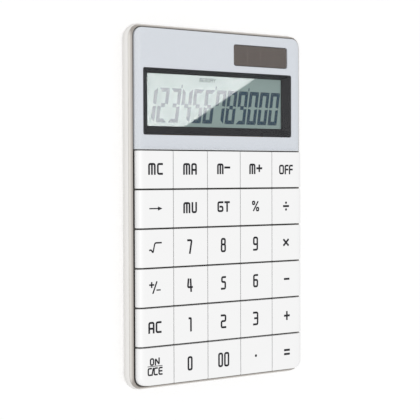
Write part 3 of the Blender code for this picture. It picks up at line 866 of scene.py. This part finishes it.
class Pen:
    """Draws signs as flat printed strokes with rounded corners."""

    loop = ((0, 0.5), (0, 0), (1, 0), (1, 1), (0, 1), (0, 0.5))
    strokes: dict[str, tuple] = {
        "M": (((0, 0), (0, 1), (1, 1), (1, 0)), ((0.5, 0), (0.5, 0.97))),
        "C": (((1, 1), (0, 1), (0, 0), (1, 0)),),
        "R": (((0, 0), (0, 1), (1, 1), (1, 0.5), (0.02, 0.5)), ((0.75, 0.5), (1, 0.4), (1, 0))),
        "A": (((0, 0), (0, 1), (1, 1), (1, 0)), ((0.02, 0.4), (0.98, 0.4))),
        "U": (((0, 1), (0, 0), (1, 0), (1, 1)),),
        "G": (((1, 1), (0, 1), (0, 0), (1, 0), (1, 0.5), (0.45, 0.5)),),
        "T": (((0, 1), (1, 1)), ((0.5, 0.97), (0.5, 0))),
        "O": (loop,),
        "F": (((0, 0), (0, 1), (1, 1)), ((0.02, 0.5), (0.95, 0.5))),
        "N": (((0, 0), (0, 1), (1, 0), (1, 1)),),
        "E": (((1, 1), (0, 1), (0, 0), (1, 0)), ((0.02, 0.5), (0.95, 0.5))),
        "Y": (((0, 1), (0.5, 0.5), (1, 1)), ((0.5, 0.5), (0.5, 0))),
        "0": (loop,),
        "1": (((0, 1), (1, 1), (1, 0)),),
        "2": (((0, 1), (1, 1), (1, 0.52), (0, 0.52), (0, 0), (1, 0)),),
        "3": (((0, 1), (1, 1), (1, 0), (0, 0)), ((0.3, 0.52), (0.95, 0.52))),
        "4": (((0.15, 1), (0, 0.33), (1, 0.33)), ((0.66, 0.98), (0.78, 0))),
        "5": (((1, 1), (0.08, 1), (0.08, 0.58), (1, 0.58), (1, 0), (0, 0)),),
        "6": (((1, 1), (0, 1), (0, 0), (1, 0), (1, 0.57), (0.02, 0.57)),),
        "7": (((0, 1), (1, 1), (0.5, 0)),),
        "8": (((0, 0.3), (0, 0), (1, 0), (1, 0.55), (0, 0.55), (0, 0.3)),
              ((0.04, 0.75), (0.04, 0.55), (0.96, 0.55), (0.96, 1), (0.04, 1), (0.04, 0.75))),
        "9": (((0, 0), (1, 0), (1, 1), (0, 1), (0, 0.45), (0.98, 0.45)),),
        "+": (((0, 0.5), (1, 0.5)), ((0.5, 0), (0.5, 1))),
        "-": (((0, 0.5), (1, 0.5)),),
        "x": (((0, 0), (1, 1)), ((0, 1), (1, 0))),
        "=": (((0, 0), (1, 0)), ((0, 1), (1, 1))),
        "/": (((0, 0), (1, 1)),),
        ".": (((0, 0.5), (1, 0.5)),),
        "root": (((0, 0.28), (0.12, 0.34), (0.28, 0), (0.45, 1), (1, 1)),),
    }

    def __init__(self, corner: float = 0.75, thickness: float = 0.03) -> None:
        """Set the corner radius and the ink's thickness, in millimetres."""
        self.corner = corner
        self.thickness = thickness

    def lengthened(self, points: Sequence[Point], amount: float) -> list[Point]:
        """Push the two ends of a line outwards.

        Args:
            points: The line's points.
            amount: How far each end moves.

        Returns:
            The points of the longer line.
        """
        first = Vector(points[0]) + (Vector(points[0]) - Vector(points[1])).normalized() * amount
        last = Vector(points[-1]) + (Vector(points[-1]) - Vector(points[-2])).normalized() * amount
        return [tuple(first), *points[1:-1], tuple(last)]

    def softened(self, points: Sequence[Point], corner: float) -> list[Point]:
        """Round the corners of a line.

        Args:
            points: The line's points, in millimetres.
            corner: Corner radius.

        Returns:
            The points of the rounded line.
        """
        made = [points[0]]
        for before, here, after in zip(points, points[1:], points[2:]):
            back = Vector(before) - Vector(here)
            ahead = Vector(after) - Vector(here)
            reach = min(corner, back.length * 0.48, ahead.length * 0.48)
            start = Vector(here) + back.normalized() * reach
            end = Vector(here) + ahead.normalized() * reach
            for step in range(5):
                t = step / 4
                made.append(tuple(start * (1 - t) ** 2 + Vector(here) * 2 * t * (1 - t) + end * t ** 2))
        return made + [points[-1]]

    def draw(self, name: str, marks: Sequence[Mark], centre: Point, height: float) -> Item:
        """Draw signs as one flat piece.

        Args:
            name: The piece's name.
            marks: The signs.
            centre: Middle that the boxes are measured from, in millimetres.
            height: Height of the printed surface.

        Returns:
            The printed piece.
        """
        made = [self.stroke_piece(name, mark, centre, height) for mark in marks]
        return Bench.join(made, name)

    def stroke_piece(self, name: str, mark: Mark, centre: Point, height: float) -> Item:
        """Draw one sign.

        Args:
            name: The name to give.
            mark: The sign.
            centre: Middle, in millimetres.
            height: Height of the printed surface.

        Returns:
            The printed sign.
        """
        half = mark.stroke / 2
        width = mark.right - mark.left - mark.stroke
        rise = mark.high - mark.low - mark.stroke
        curve = bpy.data.curves.new(name, "CURVE")
        curve.dimensions = "3D"
        curve.bevel_depth = half * MM
        curve.bevel_resolution = 2
        curve.use_fill_caps = True
        for path in self.strokes[mark.glyph]:
            places = [(mark.left + half + x * width, mark.low + half + y * rise) for x, y in path]
            closed = places[0] == places[-1]
            if not closed:
                places = self.lengthened(places, half * 0.9)
            points = self.softened(places, min(self.corner, width * 0.42 if width > 0 else 0.1))
            if closed:
                points = points[:-1]
            line = curve.splines.new("POLY")
            line.points.add(len(points) - 1)
            line.use_cyclic_u = closed
            for spot, (x, y) in zip(line.points, points):
                spot.co = (x * MM, y * MM, 0, 1)
        item = bpy.data.objects.new(name, curve)
        bpy.context.scene.collection.objects.link(item)
        Bench.only(item)
        bpy.ops.object.convert(target="MESH")
        item = bpy.context.object
        item.location = (centre[0] * MM, centre[1] * MM, height * MM)
        item.scale = (1, 1, self.thickness / half)
        return Bench.settle(item)

    @staticmethod
    def dot(name: str, centre: Point, radius: float, height: float, thickness: float = 0.03) -> Item:
        """Print a round dot.

        Args:
            name: The name to give.
            centre: Middle, in millimetres.
            radius: Radius of the dot.
            height: Height of the printed surface.
            thickness: Half of the ink's thickness.

        Returns:
            The dot.
        """
        Bench.only()
        bpy.ops.mesh.primitive_cylinder_add(vertices=20, radius=radius * MM, depth=2 * thickness * MM,
                                            location=(centre[0] * MM, centre[1] * MM, height * MM))
        item = bpy.context.object
        item.name = name
        Bench.settle(item)
        return Bench.rounded(item, thickness * 0.6, 1)

    @staticmethod
    def arrow_head(name: str, centre: Point, length: float, rise: float, height: float,
                   thickness: float = 0.03) -> Item:
        """Print a solid arrow head that points right.

        Args:
            name: The name to give.
            centre: Middle, in millimetres.
            length: Length of the head.
            rise: Height of the head across the arrow.
            height: Height of the printed surface.
            thickness: Half of the ink's thickness.

        Returns:
            The arrow head.
        """
        Bench.only()
        bpy.ops.mesh.primitive_cylinder_add(vertices=3, radius=1, depth=2, rotation=(0, 0, -math.pi / 2))
        item = bpy.context.object
        item.name = name
        Bench.settle(item)
        item.scale = (length / 1.5 * MM, rise / math.sqrt(3) * MM, thickness * MM)
        item.location = (centre[0] * MM, centre[1] * MM, height * MM)
        return Bench.settle(item)


# --------------------------------------------------------------------------- keys

def row(glyphs: Sequence[tuple[str, float, float]], low: float, high: float, stroke: float = 0.96) -> list[Mark]:
    """Set signs side by side.

    Args:
        glyphs: Each sign with its left and right side.
        low: Foot of the signs.
        high: Head of the signs.
        stroke: Line width.

    Returns:
        The marks.
    """
    return [Mark(glyph, left, low, right, high, stroke) for glyph, left, right in glyphs]


@dataclass
class KeyBank:
    """Thirty tile keys, each with its skirt, stem, catch and printed legend."""

    paints: Paints
    pen: Pen = field(default_factory=Pen)
    pitch_x: float = 19.45
    pitch_y: float = 17.85
    groove_x: float = 0.36
    groove_y: float = 0.74
    top: float = 13.0
    cap_bottom: float = 10.0
    skirt_bottom: float = 9.7
    skirt_inset: float = 0.35
    catch_bottom: float = 6.6
    catch_top: float = 7.1
    stem: float = 3.6
    catch: float = 4.8
    field_top: float = 25.925
    corner: float = 4.0
    tile_corner: float = 0.4
    edge: float = 0.25
    roll: Roll = field(default_factory=Roll)

    def legends(self) -> dict[str, list[Mark]]:
        """Say what each key's legend is made of, by key.

        Returns:
            The signs of each key, in reading order.
        """
        digit = (-2.2, 0.9)
        broad = (-2.35, 1.0)
        return {
            "key_memory_clear": row((("M", -4.2, -0.1), ("C", 0.6, 3.9)), -2.4, 3.0),
            "key_memory_add_total": row((("M", -4.3, -0.3), ("A", 0.3, 3.5)), -2.4, 3.0),
            "key_memory_minus": row((("M", -4.2, -0.4),), -2.2, 2.9) + row((("-", 0.0, 3.6),), 0.7, 1.3),
            "key_memory_plus": row((("M", -4.4, -0.6),), -2.2, 2.9) + row((("+", -0.1, 3.6),), -1.2, 2.5),
            "key_off": row((("O", -5.3, -2.2), ("F", -1.8, 0.7), ("F", 0.9, 3.5)), -2.3, 2.4, 0.86),
            "key_backspace": row((("-", -3.7, 1.2),), -0.05, 0.5, 0.58),
            "key_mark_up": row((("M", -4.3, -0.3), ("U", 0.4, 3.5)), -2.3, 2.9),
            "key_grand_total": row((("G", -4.1, -0.5), ("T", 0.0, 3.3)), -2.1, 3.0),
            "key_percent": (row((("O", -2.75, -0.75),), 0.85, 3.0, 0.76) + row((("O", -0.35, 1.65),), -2.2, 0.0, 0.76)
                            + row((("/", -2.2, 1.2),), -2.1, 2.8, 0.76)),
            "key_divide": row((("-", -2.9, 1.0),), -0.25, 0.35, 1.0),
            "key_square_root": row((("root", -3.9, 3.1),), -2.4, 2.9, 0.72),
            "key_7": row((("7", *digit),), -3.2, 3.6),
            "key_8": row((("8", *digit),), -3.2, 3.6),
            "key_9": row((("9", *digit),), -3.2, 3.6),
            "key_multiply": row((("x", -2.85, 0.85),), -1.65, 1.95, 1.0),
            "key_sign": (row((("+", -3.95, -1.15),), 0.0, 2.8, 0.78) + row((("/", -2.2, 0.6),), -2.7, 3.0, 0.76)
                         + row((("-", 0.0, 2.4),), -1.3, -0.8, 0.62)),
            "key_4": row((("4", *broad),), -3.0, 3.4),
            "key_5": row((("5", *digit),), -3.0, 3.4),
            "key_6": row((("6", *digit),), -3.0, 3.4),
            "key_minus": row((("-", -2.4, 1.2),), -0.2, 0.4, 1.0),
            "key_all_clear": row((("A", -4.5, -1.1), ("C", -0.5, 2.8)), -2.8, 2.6),
            "key_1": row((("1", -1.6, 0.3),), -3.5, 3.2),
            "key_2": row((("2", *broad),), -3.4, 3.2),
            "key_3": row((("3", *broad),), -3.4, 3.2),
            "key_plus": row((("+", -2.4, 1.4),), -2.3, 2.2, 1.0),
            "key_on_clear": (row((("O", -3.75, -1.35), ("N", -1.05, 1.7)), 0.45, 3.95, 0.74)
                             + row((("-", -5.0, 3.2),), 0.0, 0.3, 0.34)
                             + row((("C", -5.0, -2.6), ("/", -2.9, -1.5), ("C", -1.75, 0.6), ("E", 0.9, 3.25)),
                                   -4.1, -0.4, 0.74)),
            "key_0": row((("0", -2.2, 0.7),), -3.7, 3.0),
            "key_00": row((("0", -3.9, -1.0), ("0", -0.4, 2.7)), -3.8, 3.1),
            "key_point": [],
            "key_equals": row((("=", -2.4, 1.4),), -1.6, 1.4, 1.05),
        }

    def centre(self, index: int) -> Point:
        """Return the middle of a key by its place in the reading order."""
        line, column = divmod(index, 5)
        return (column - 2) * self.pitch_x, self.field_top - (line + 0.5) * self.pitch_y

    def levels(self, left: bool, right: bool) -> list[Level]:
        """List the outlines of a cap from its underside up.

        Args:
            left: Whether its left side rolls over.
            right: Whether its right side rolls over.

        Returns:
            The levels.
        """
        low = 0.12
        made = [Level(self.cap_bottom + low)]
        if not (left or right):
            for step in range(4):
                turn = math.pi / 2 * step / 3
                inset = self.edge * (1 - math.cos(turn))
                made.append(Level(self.top - self.edge * (1 - math.sin(turn)), inset, inset, inset, inset))
            return made
        return made + self.roll.levels(left, right)

    def blank(self, left: bool, right: bool, bottom: bool) -> Item:
        """Model one cap with its skirt, stem and catch, round the origin.

        Args:
            left: Whether its left side rolls over.
            right: Whether its right side rolls over.
            bottom: Whether it is in the bottom row.

        Returns:
            The blank key.
        """
        half = ((self.pitch_x - self.groove_x) / 2, (self.pitch_y - self.groove_y) / 2)
        radii = {}
        for side in (-1, 1):
            for end in (-1, 1):
                outer = bottom and end < 0 and (left if side < 0 else right)
                radii[(side, end)] = self.corner if outer else self.tile_corner
        cap = Bench.sheet("cap", (-half[0], -half[1]), half, self.cap_bottom, radii)
        Bench.raise_levels(cap, self.levels(left, right))
        self.paints.coat(cap, Look.KEY)
        inset = [value - self.skirt_inset for value in half]
        trimmed = {spot: max(radius - self.skirt_inset, 0.2) for spot, radius in radii.items()}
        skirt = Bench.sheet("skirt", (-inset[0], -inset[1]), inset, self.skirt_bottom, trimmed, 5)
        Bench.raise_levels(skirt, [Level(self.cap_bottom - 0.01)])
        stem = Bench.slab("stem", (-self.stem / 2, -self.stem / 2, self.catch_top),
                          (self.stem / 2, self.stem / 2, self.skirt_bottom))
        catch = Bench.slab("catch", (-self.catch / 2, -self.catch / 2, self.catch_bottom),
                           (self.catch / 2, self.catch / 2, self.catch_top))
        for item in (stem, catch):
            Bench.rounded(item, 0.15, 2)
        lower = Bench.join([skirt, stem, catch], "lower")
        # the skirt's near-black is painted shade under the caps
        self.paints.coat(lower, Look.SKIRT)
        return Bench.smooth(Bench.join([cap, lower], "blank"), 32)

    def extras(self, name: str, centre: Point) -> list[Item]:
        """Print the dots and arrow head that a legend has.

        Args:
            name: The name to give.
            centre: Middle, in millimetres.

        Returns:
            The printed pieces, if any.
        """
        x, y = centre
        if name == "key_backspace":
            return [Pen.arrow_head("head", (x + 1.9, y + 0.22), 2.5, 1.9, self.top)]
        if name == "key_divide":
            return [Pen.dot("dot", (x - 0.95, y + spot), 0.6, self.top) for spot in (-1.6, 1.7)]
        if name == "key_point":
            return [Pen.dot("dot", (x - 0.55, y - 0.2), 0.66, self.top)]
        return []

    def build(self) -> None:
        """Copy the blanks to their places and print their legends."""
        blanks: dict[tuple[bool, bool, bool], Item] = {}
        for index, (name, marks) in enumerate(self.legends().items()):
            column = index % 5
            shape = (column == 0, column == 4, index >= 25 and column in (0, 4))
            if shape not in blanks:
                blanks[shape] = self.blank(*shape)
            x, y = self.centre(index)
            cap = Bench.copy(blanks[shape], f"cap_{name}", (x, y, 0))
            ink = self.extras(name, (x, y))
            if marks:
                ink.append(self.pen.draw("ink", marks, (x, y), self.top))
            for item in ink:
                self.paints.coat(item, Look.INK)
            piece = Bench.join([cap, *ink], f"cap_{name}")
            stand_for(piece, name, "key_white", name)
        for item in blanks.values():
            bpy.data.objects.remove(item, do_unlink=True)


# ------------------------------------------------------------------ display end

@dataclass
class DisplayEnd:
    """The clear cover, the painted panel, the dark bezel, the liquid crystal and the solar strip."""

    paints: Paints
    pen: Pen = field(default_factory=Pen)
    half_width: float = 48.415
    near: float = 26.135
    far: float = 81.175
    lens_bottom: float = 10.6
    corner: float = 4.0
    roll: Roll = field(default_factory=Roll)
    lcd_top: float = 6.9
    digit_pitch: float = 6.6
    digit_width: float = 5.7
    digit_height: float = 15.9
    digit_low: float = 38.7
    digit_start: float = -40.15
    segment: float = 1.8
    slant: float = 0.15
    gap: float = 0.3
    nick: float = 0.4

    def cover(self) -> Item:
        """Model the clear cover with rolled sides.

        Returns:
            The cover.
        """
        radii = {(-1, -1): 0.4, (1, -1): 0.4, (-1, 1): self.corner, (1, 1): self.corner}
        cover = Bench.sheet("clear_cover", (-self.half_width, self.near), (self.half_width, self.far),
                            self.lens_bottom, radii, 10)
        Bench.raise_levels(cover, self.roll.levels(True, True))
        return self.paints.coat(Bench.smooth(cover, 32), Look.COVER)

    def bar(self, length: float, near: float, far: float, turn: float) -> Item:
        """Model one segment whose inner side is cut back at its ends.

        Args:
            length: Length of its outer side.
            near: Cut at its start.
            far: Cut at its end.
            turn: Turn about its start, in degrees.

        Returns:
            The segment, starting at the origin.
        """
        half = self.segment / 2
        item = Bench.sheet("bar", (0, -half), (length, half), -0.03, {})
        Bench.raise_levels(item, [Level(0.03)])
        for cut, end in ((near, 0.0), (-far, length)):
            with Bench.editing(item):
                Bench.pick(item, "VERT", lambda spot: spot.y < 0 and abs(spot.x - end * MM) < 1e-7)
                bpy.ops.transform.translate(value=(cut * MM, 0, 0))
        item.rotation_euler.z = math.radians(turn)
        return Bench.settle(item)

    def segments(self) -> dict[str, tuple[Item, Point]]:
        """Model the seven segments.

        Returns:
            Each segment with its start inside a digit.
        """
        edge, half, mid = 0.1, self.segment / 2, self.digit_height / 2
        mitre = self.segment - edge
        across, up = self.digit_width - 2 * edge, mid - self.gap - edge
        middle = self.digit_width - 2 * self.segment
        right, top = self.digit_width - half, self.digit_height
        return {
            "a": (self.bar(across, mitre, mitre, 0), (edge, top - half)),
            "d": (self.bar(across, mitre, mitre, 180), (self.digit_width - edge, half)),
            "g": (self.bar(middle, 0, 0, 0), (self.segment, mid)),
            "f": (self.bar(up, self.nick, mitre, 90), (half, mid + self.gap)),
            "e": (self.bar(up, mitre, self.nick, 90), (half, edge)),
            "b": (self.bar(up, mitre, self.nick, -90), (right, top - edge)),
            "c": (self.bar(up, self.nick, mitre, -90), (right, mid - self.gap)),
        }

    def digits(self) -> Item:
        """Model the twelve digits and the marks between their groups.

        Returns:
            The display's signs as one piece.
        """
        lit = {"0": "abcdef", "1": "bc", "2": "abged", "3": "abgcd", "4": "fgbc", "5": "afgcd",
               "6": "afgedc", "7": "fabc", "8": "abcdefg", "9": "abcdfg"}
        models = self.segments()
        pieces = []
        for index, digit in enumerate("123456789000"):
            x = self.digit_start + index * self.digit_pitch
            for run in lit[digit]:
                model, (left, low) = models[run]
                pieces.append(Bench.copy(model, "segment", (x + left, self.digit_low + low, self.lcd_top)))
            if index in (2, 5, 8):
                left, low = x + self.digit_pitch - 1.1, self.digit_low + self.digit_height + 0.25
                pieces.append(Bench.slab("tick", (left, low, self.lcd_top - 0.03),
                                         (left + 0.6, low + 1.5, self.lcd_top + 0.03)))
        sign = Pen(0.2, 0.03)
        word = [Mark(glyph, index * 1.6, 0, index * 1.6 + 1.3, 1.8, 0.24) for index, glyph in enumerate("MEMORY")]
        pieces.append(sign.draw("sign", word, (-11.6, 58.1), self.lcd_top + 0.02))
        for model, _ in models.values():
            bpy.data.objects.remove(model, do_unlink=True)
        made = Bench.join(pieces, "lcd_digits")
        lean = Matrix.Identity(4)
        lean[0][1] = self.slant
        base = (self.digit_low + self.digit_height / 2) * MM
        made.data.transform(Matrix.Translation((0, base, 0)) @ lean @ Matrix.Translation((0, -base, 0)))
        return self.paints.coat(made, Look.SEGMENT)

    def build(self) -> list[Item]:
        """Make the display end.

        Returns:
            The pieces whose glass mirrors the studio's card.
        """
        stand_for(self.cover(), "case", "lens_clear", "display_lens")
        panel = self.paints.coat(Bench.refined("display_panel", "painted_panel", 0.12), Look.PANEL)
        stand_for(panel, "case", "panel_silver_blue", "display_panel")
        bezel = self.paints.coat(Bench.refined("display_bezel", "dark_bezel"), Look.BEZEL)
        stand_for(bezel, "case", "bezel_black", "display_bezel")
        glass = self.paints.coat(Bench.refined("lcd_cell", "lcd_plate"), Look.LCD)
        stand_for(glass, "case", "lcd_grey_green", "lcd_cell")
        digits = self.digits()
        stand_for(digits, "case", "lcd_grey_green")
        solar = self.paints.coat(Bench.refined("solar_cell", "solar_plate", 0.1), Look.SOLAR)
        stand_for(solar, "case", "solar_brown", "solar_cell")
        return [glass, digits]


# ----------------------------------------------------------------------- the case

@dataclass
class Case:
    """The rear shell, the front frame, the deck, and what shows on the back."""

    paints: Paints
    head: float = 1.5
    head_low: float = 1.1
    head_high: float = 2.0
    shank: float = 0.8
    tip: float = 7.1
    recess: float = 0.5
    foot: float = 4.0
    door_ridges: int = 6

    def screw(self, name: str, node: str) -> None:
        """Model a screw with a cross recess in place of a measured one.

        Args:
            name: The name to give.
            node: The measured piece that it stands for.
        """
        low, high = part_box(node)
        centre = [(a + b) / 2 for a, b in zip(low, high)]
        Bench.only()
        bpy.ops.mesh.primitive_cylinder_add(vertices=32, radius=self.head * MM,
                                            depth=(self.head_high - self.head_low) * MM,
                                            location=(0, 0, (self.head_high + self.head_low) / 2 * MM))
        head = Bench.settle(bpy.context.object)
        Bench.rounded(head, 0.18, 3)
        arm = 0.17
        for size in ((0.95, arm), (arm, 0.95)):
            tool = Bench.slab("tool", (-size[0], -size[1], self.head_low - 0.5),
                              (size[0], size[1], self.head_low + self.recess))
            Bench.cut(head, tool)
        Bench.only()
        bpy.ops.mesh.primitive_cylinder_add(vertices=24, radius=self.shank * MM,
                                            depth=(self.tip - self.head_high) * MM,
                                            location=(0, 0, (self.tip + self.head_high) / 2 * MM))
        shank = Bench.rounded(Bench.settle(bpy.context.object), 0.2, 2)
        made = Bench.smooth(Bench.join([head, shank], name), 35)
        made.location = (centre[0], centre[1], 0)
        Bench.settle(made)
        self.paints.coat(made, Look.STEEL)
        stand_for(made, "case", "plated_steel", node)

    def rubber(self, name: str, node: str) -> None:
        """Model a round foot with a ring in its sole.

        Args:
            name: The name to give.
            node: The measured piece that it stands for.
        """
        low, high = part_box(node)
        Bench.only()
        centre = [(a + b) / 2 for a, b in zip(low, high)]
        bpy.ops.mesh.primitive_cylinder_add(vertices=48, radius=self.foot * MM, depth=high[2] - low[2],
                                            location=centre)
        made = Bench.settle(bpy.context.object)
        made.name = name
        with Bench.editing(made, "FACE"):
            Bench.pick(made, "FACE", lambda spot: spot.z < low[2] + 1e-6)
            bpy.ops.mesh.inset(thickness=1.2 * MM)
            bpy.ops.mesh.inset(thickness=0.3 * MM, depth=-0.15 * MM)
            bpy.ops.mesh.inset(thickness=0.3 * MM)
            bpy.ops.mesh.inset(thickness=0.3 * MM, depth=0.15 * MM)
        Bench.smooth(Bench.rounded(made, 0.12, 2), 35)
        self.paints.coat(made, Look.RUBBER)
        stand_for(made, "case", "foot_rubber", node)

    def door(self) -> None:
        """Give the battery door its grip ridges and arrow."""
        low, high = (Vector(corner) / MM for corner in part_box("battery_door"))
        plate = Bench.refined("battery_door", "battery_cover", 0.08)
        middle = (low.x + high.x) / 2
        ridges = []
        for index in range(self.door_ridges):
            y = low.y + 3.0 + index * 1.3
            ridge = Bench.slab("ridge", (middle - 5.0, y, low.z - 0.22), (middle + 5.0, y + 0.55, low.z + 0.2))
            ridges.append(Bench.rounded(ridge, 0.18, 3))
        arrow = Pen.arrow_head("arrow", (0, 0), 3.2, 3.6, 0, 0.2)
        arrow.rotation_euler.z = math.pi / 2
        arrow.location = (middle * MM, (low.y + 13.0) * MM, low.z * MM)
        Bench.settle(arrow)
        made = Bench.smooth(Bench.join([plate, *ridges, arrow], "battery_cover"), 35)
        self.paints.coat(made, Look.SHELL)
        stand_for(made, "door", "shell_white", "battery_door")

    def build(self) -> None:
        """Make the case."""
        shell = self.paints.coat(Bench.refined("rear_shell", "back_shell", 0.0, 40), Look.SHELL)
        stand_for(shell, "case", "shell_white", "rear_shell")
        lip = self.paints.coat(Bench.refined("front_frame", "front_lip", 0.0, 50), Look.FRAME)
        stand_for(lip, "case", "frame_champagne", "front_frame")
        # the deck's dark tone is partly painted shade for the grooves
        self.paints.coat(frame["nodes"]["key_deck"], Look.DECK)
        for index in range(1, 7):
            self.screw(f"cross_screw_{index}", f"case_screw_{index}")
        for index in range(1, 5):
            self.rubber(f"round_foot_{index}", f"rubber_foot_{index}")
        self.door()


@dataclass
class Inside:
    """The pieces that the case hides, which keep their measured shape."""

    paints: Paints
    looks: dict[str, Look] = field(default_factory=lambda: {
        "keypad_sheet": Look.SILICONE, "main_board": Look.BOARD, "chip_cover": Look.RESIN,
        "lcd_ribbon": Look.FILM, "solar_lead_positive": Look.LEAD_RED, "solar_lead_negative": Look.LEAD_BLACK,
        "button_cell": Look.STEEL, "contact_positive": Look.STEEL, "contact_negative": Look.STEEL})

    def build(self) -> None:
        """Finish each hidden piece."""
        for name, look in self.looks.items():
            self.paints.coat(frame["nodes"][name], look)
            log.info("%s: %s", name, look.value.name)


# --------------------------------------------------------------------- the studio

@dataclass
class Studio:
    """A pale table under even light, a card that the display mirrors, and the camera."""

    light: float = 0.7
    sun: float = 1.36
    sun_tilt: float = -14.0
    floor_glow: float = 0.35
    card_radiance: float = 11.0
    card_size: tuple[float, float] = (0.2, 0.09)
    card_turn: float = 29.8
    card_edge: tuple[float, float, float] = (0.3793, 0.086, 0.5)
    lens: float = 108.23
    camera_place: tuple[float, float, float] = (-0.36112, 0.01414, 0.48491)
    camera_turn: tuple[float, float, float] = (-1.42151, -36.77756, -0.22175)

    def table(self) -> None:
        """Lay the pale table."""
        Bench.only()
        bpy.ops.mesh.primitive_plane_add(size=6, location=(0, 0, -0.0002))
        table = bpy.context.object
        table.name = "table"
        graph = Graph("table_white")
        graph.shader.inputs["Base Color"].default_value = (0.95, 0.95, 0.95, 1)
        graph.shader.inputs["Roughness"].default_value = 0.9
        graph.shader.inputs["Specular IOR Level"].default_value = 0.1
        graph.shader.inputs["Emission Color"].default_value = (1, 1, 1, 1)
        graph.shader.inputs["Emission Strength"].default_value = self.floor_glow
        table.data.materials.append(graph.material)

    def surround(self) -> None:
        """Light the scene evenly from all round."""
        world = bpy.data.worlds.new("surround")
        world.use_nodes = True
        back = world.node_tree.nodes["Background"]
        back.inputs["Color"].default_value = (1, 1, 1, 1)
        back.inputs["Strength"].default_value = self.light
        bpy.context.scene.world = world

    def window(self) -> None:
        """Let soft light in from the left, on the calculator only."""
        lamp = bpy.data.lights.new("window", "SUN")
        lamp.energy = self.sun
        lamp.angle = math.radians(25)
        item = bpy.data.objects.new("window", lamp)
        item.rotation_euler.y = math.radians(self.sun_tilt)
        bpy.context.scene.collection.objects.link(item)
        lit = bpy.data.collections.new("lit_by_window")
        for piece in bpy.context.scene.objects:
            if piece.type == "MESH" and piece.name != "table":
                lit.objects.link(piece)
        item.light_linking.receiver_collection = lit

    def card(self, glass: Sequence[Item]) -> None:
        """Hang the bright card whose edge crosses the display.

        Args:
            glass: The pieces that mirror it.
        """
        lamp = bpy.data.lights.new("card", "AREA")
        lamp.shape = "RECTANGLE"
        lamp.size, lamp.size_y = self.card_size
        lamp.energy = self.card_radiance * math.pi * self.card_size[0] * self.card_size[1]
        item = bpy.data.objects.new("card", lamp)
        turn = math.radians(self.card_turn)
        x, y, z = self.card_edge
        along, across = -0.01, self.card_size[1] / 2
        item.location = (x + along * math.cos(turn) - across * math.sin(turn),
                         y + along * math.sin(turn) + across * math.cos(turn), z)
        item.rotation_euler.z = turn
        item.visible_diffuse = False
        item.visible_transmission = False
        bpy.context.scene.collection.objects.link(item)
        mirrors = bpy.data.collections.new("mirrors_of_card")
        for piece in glass:
            mirrors.objects.link(piece)
        item.light_linking.receiver_collection = mirrors

    def camera(self) -> None:
        """Stand the camera to the left, looking down."""
        data = bpy.data.cameras.new("camera")
        data.lens = self.lens
        data.sensor_width = 36
        item = bpy.data.objects.new("camera", data)
        item.location = self.camera_place
        item.rotation_euler = [math.radians(value) for value in self.camera_turn]
        bpy.context.scene.collection.objects.link(item)
        bpy.context.scene.camera = item

    def build(self, glass: Sequence[Item]) -> None:
        """Set up the studio round the finished calculator.

        Args:
            glass: The pieces that mirror the card.
        """
        self.table()
        self.surround()
        self.window()
        self.card(glass)
        self.camera()
        bpy.context.scene.view_settings.view_transform = "Standard"


def main() -> None:
    """Build each sub-assembly in order."""
    logging.basicConfig(level=logging.INFO, format="%(name)s %(message)s")
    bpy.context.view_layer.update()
    paints = Paints()
    Case(paints).build()
    Inside(paints).build()
    KeyBank(paints).build()
    glass = DisplayEnd(paints).build()
    Studio().build(glass)


if __name__ == "__main__":
    main()
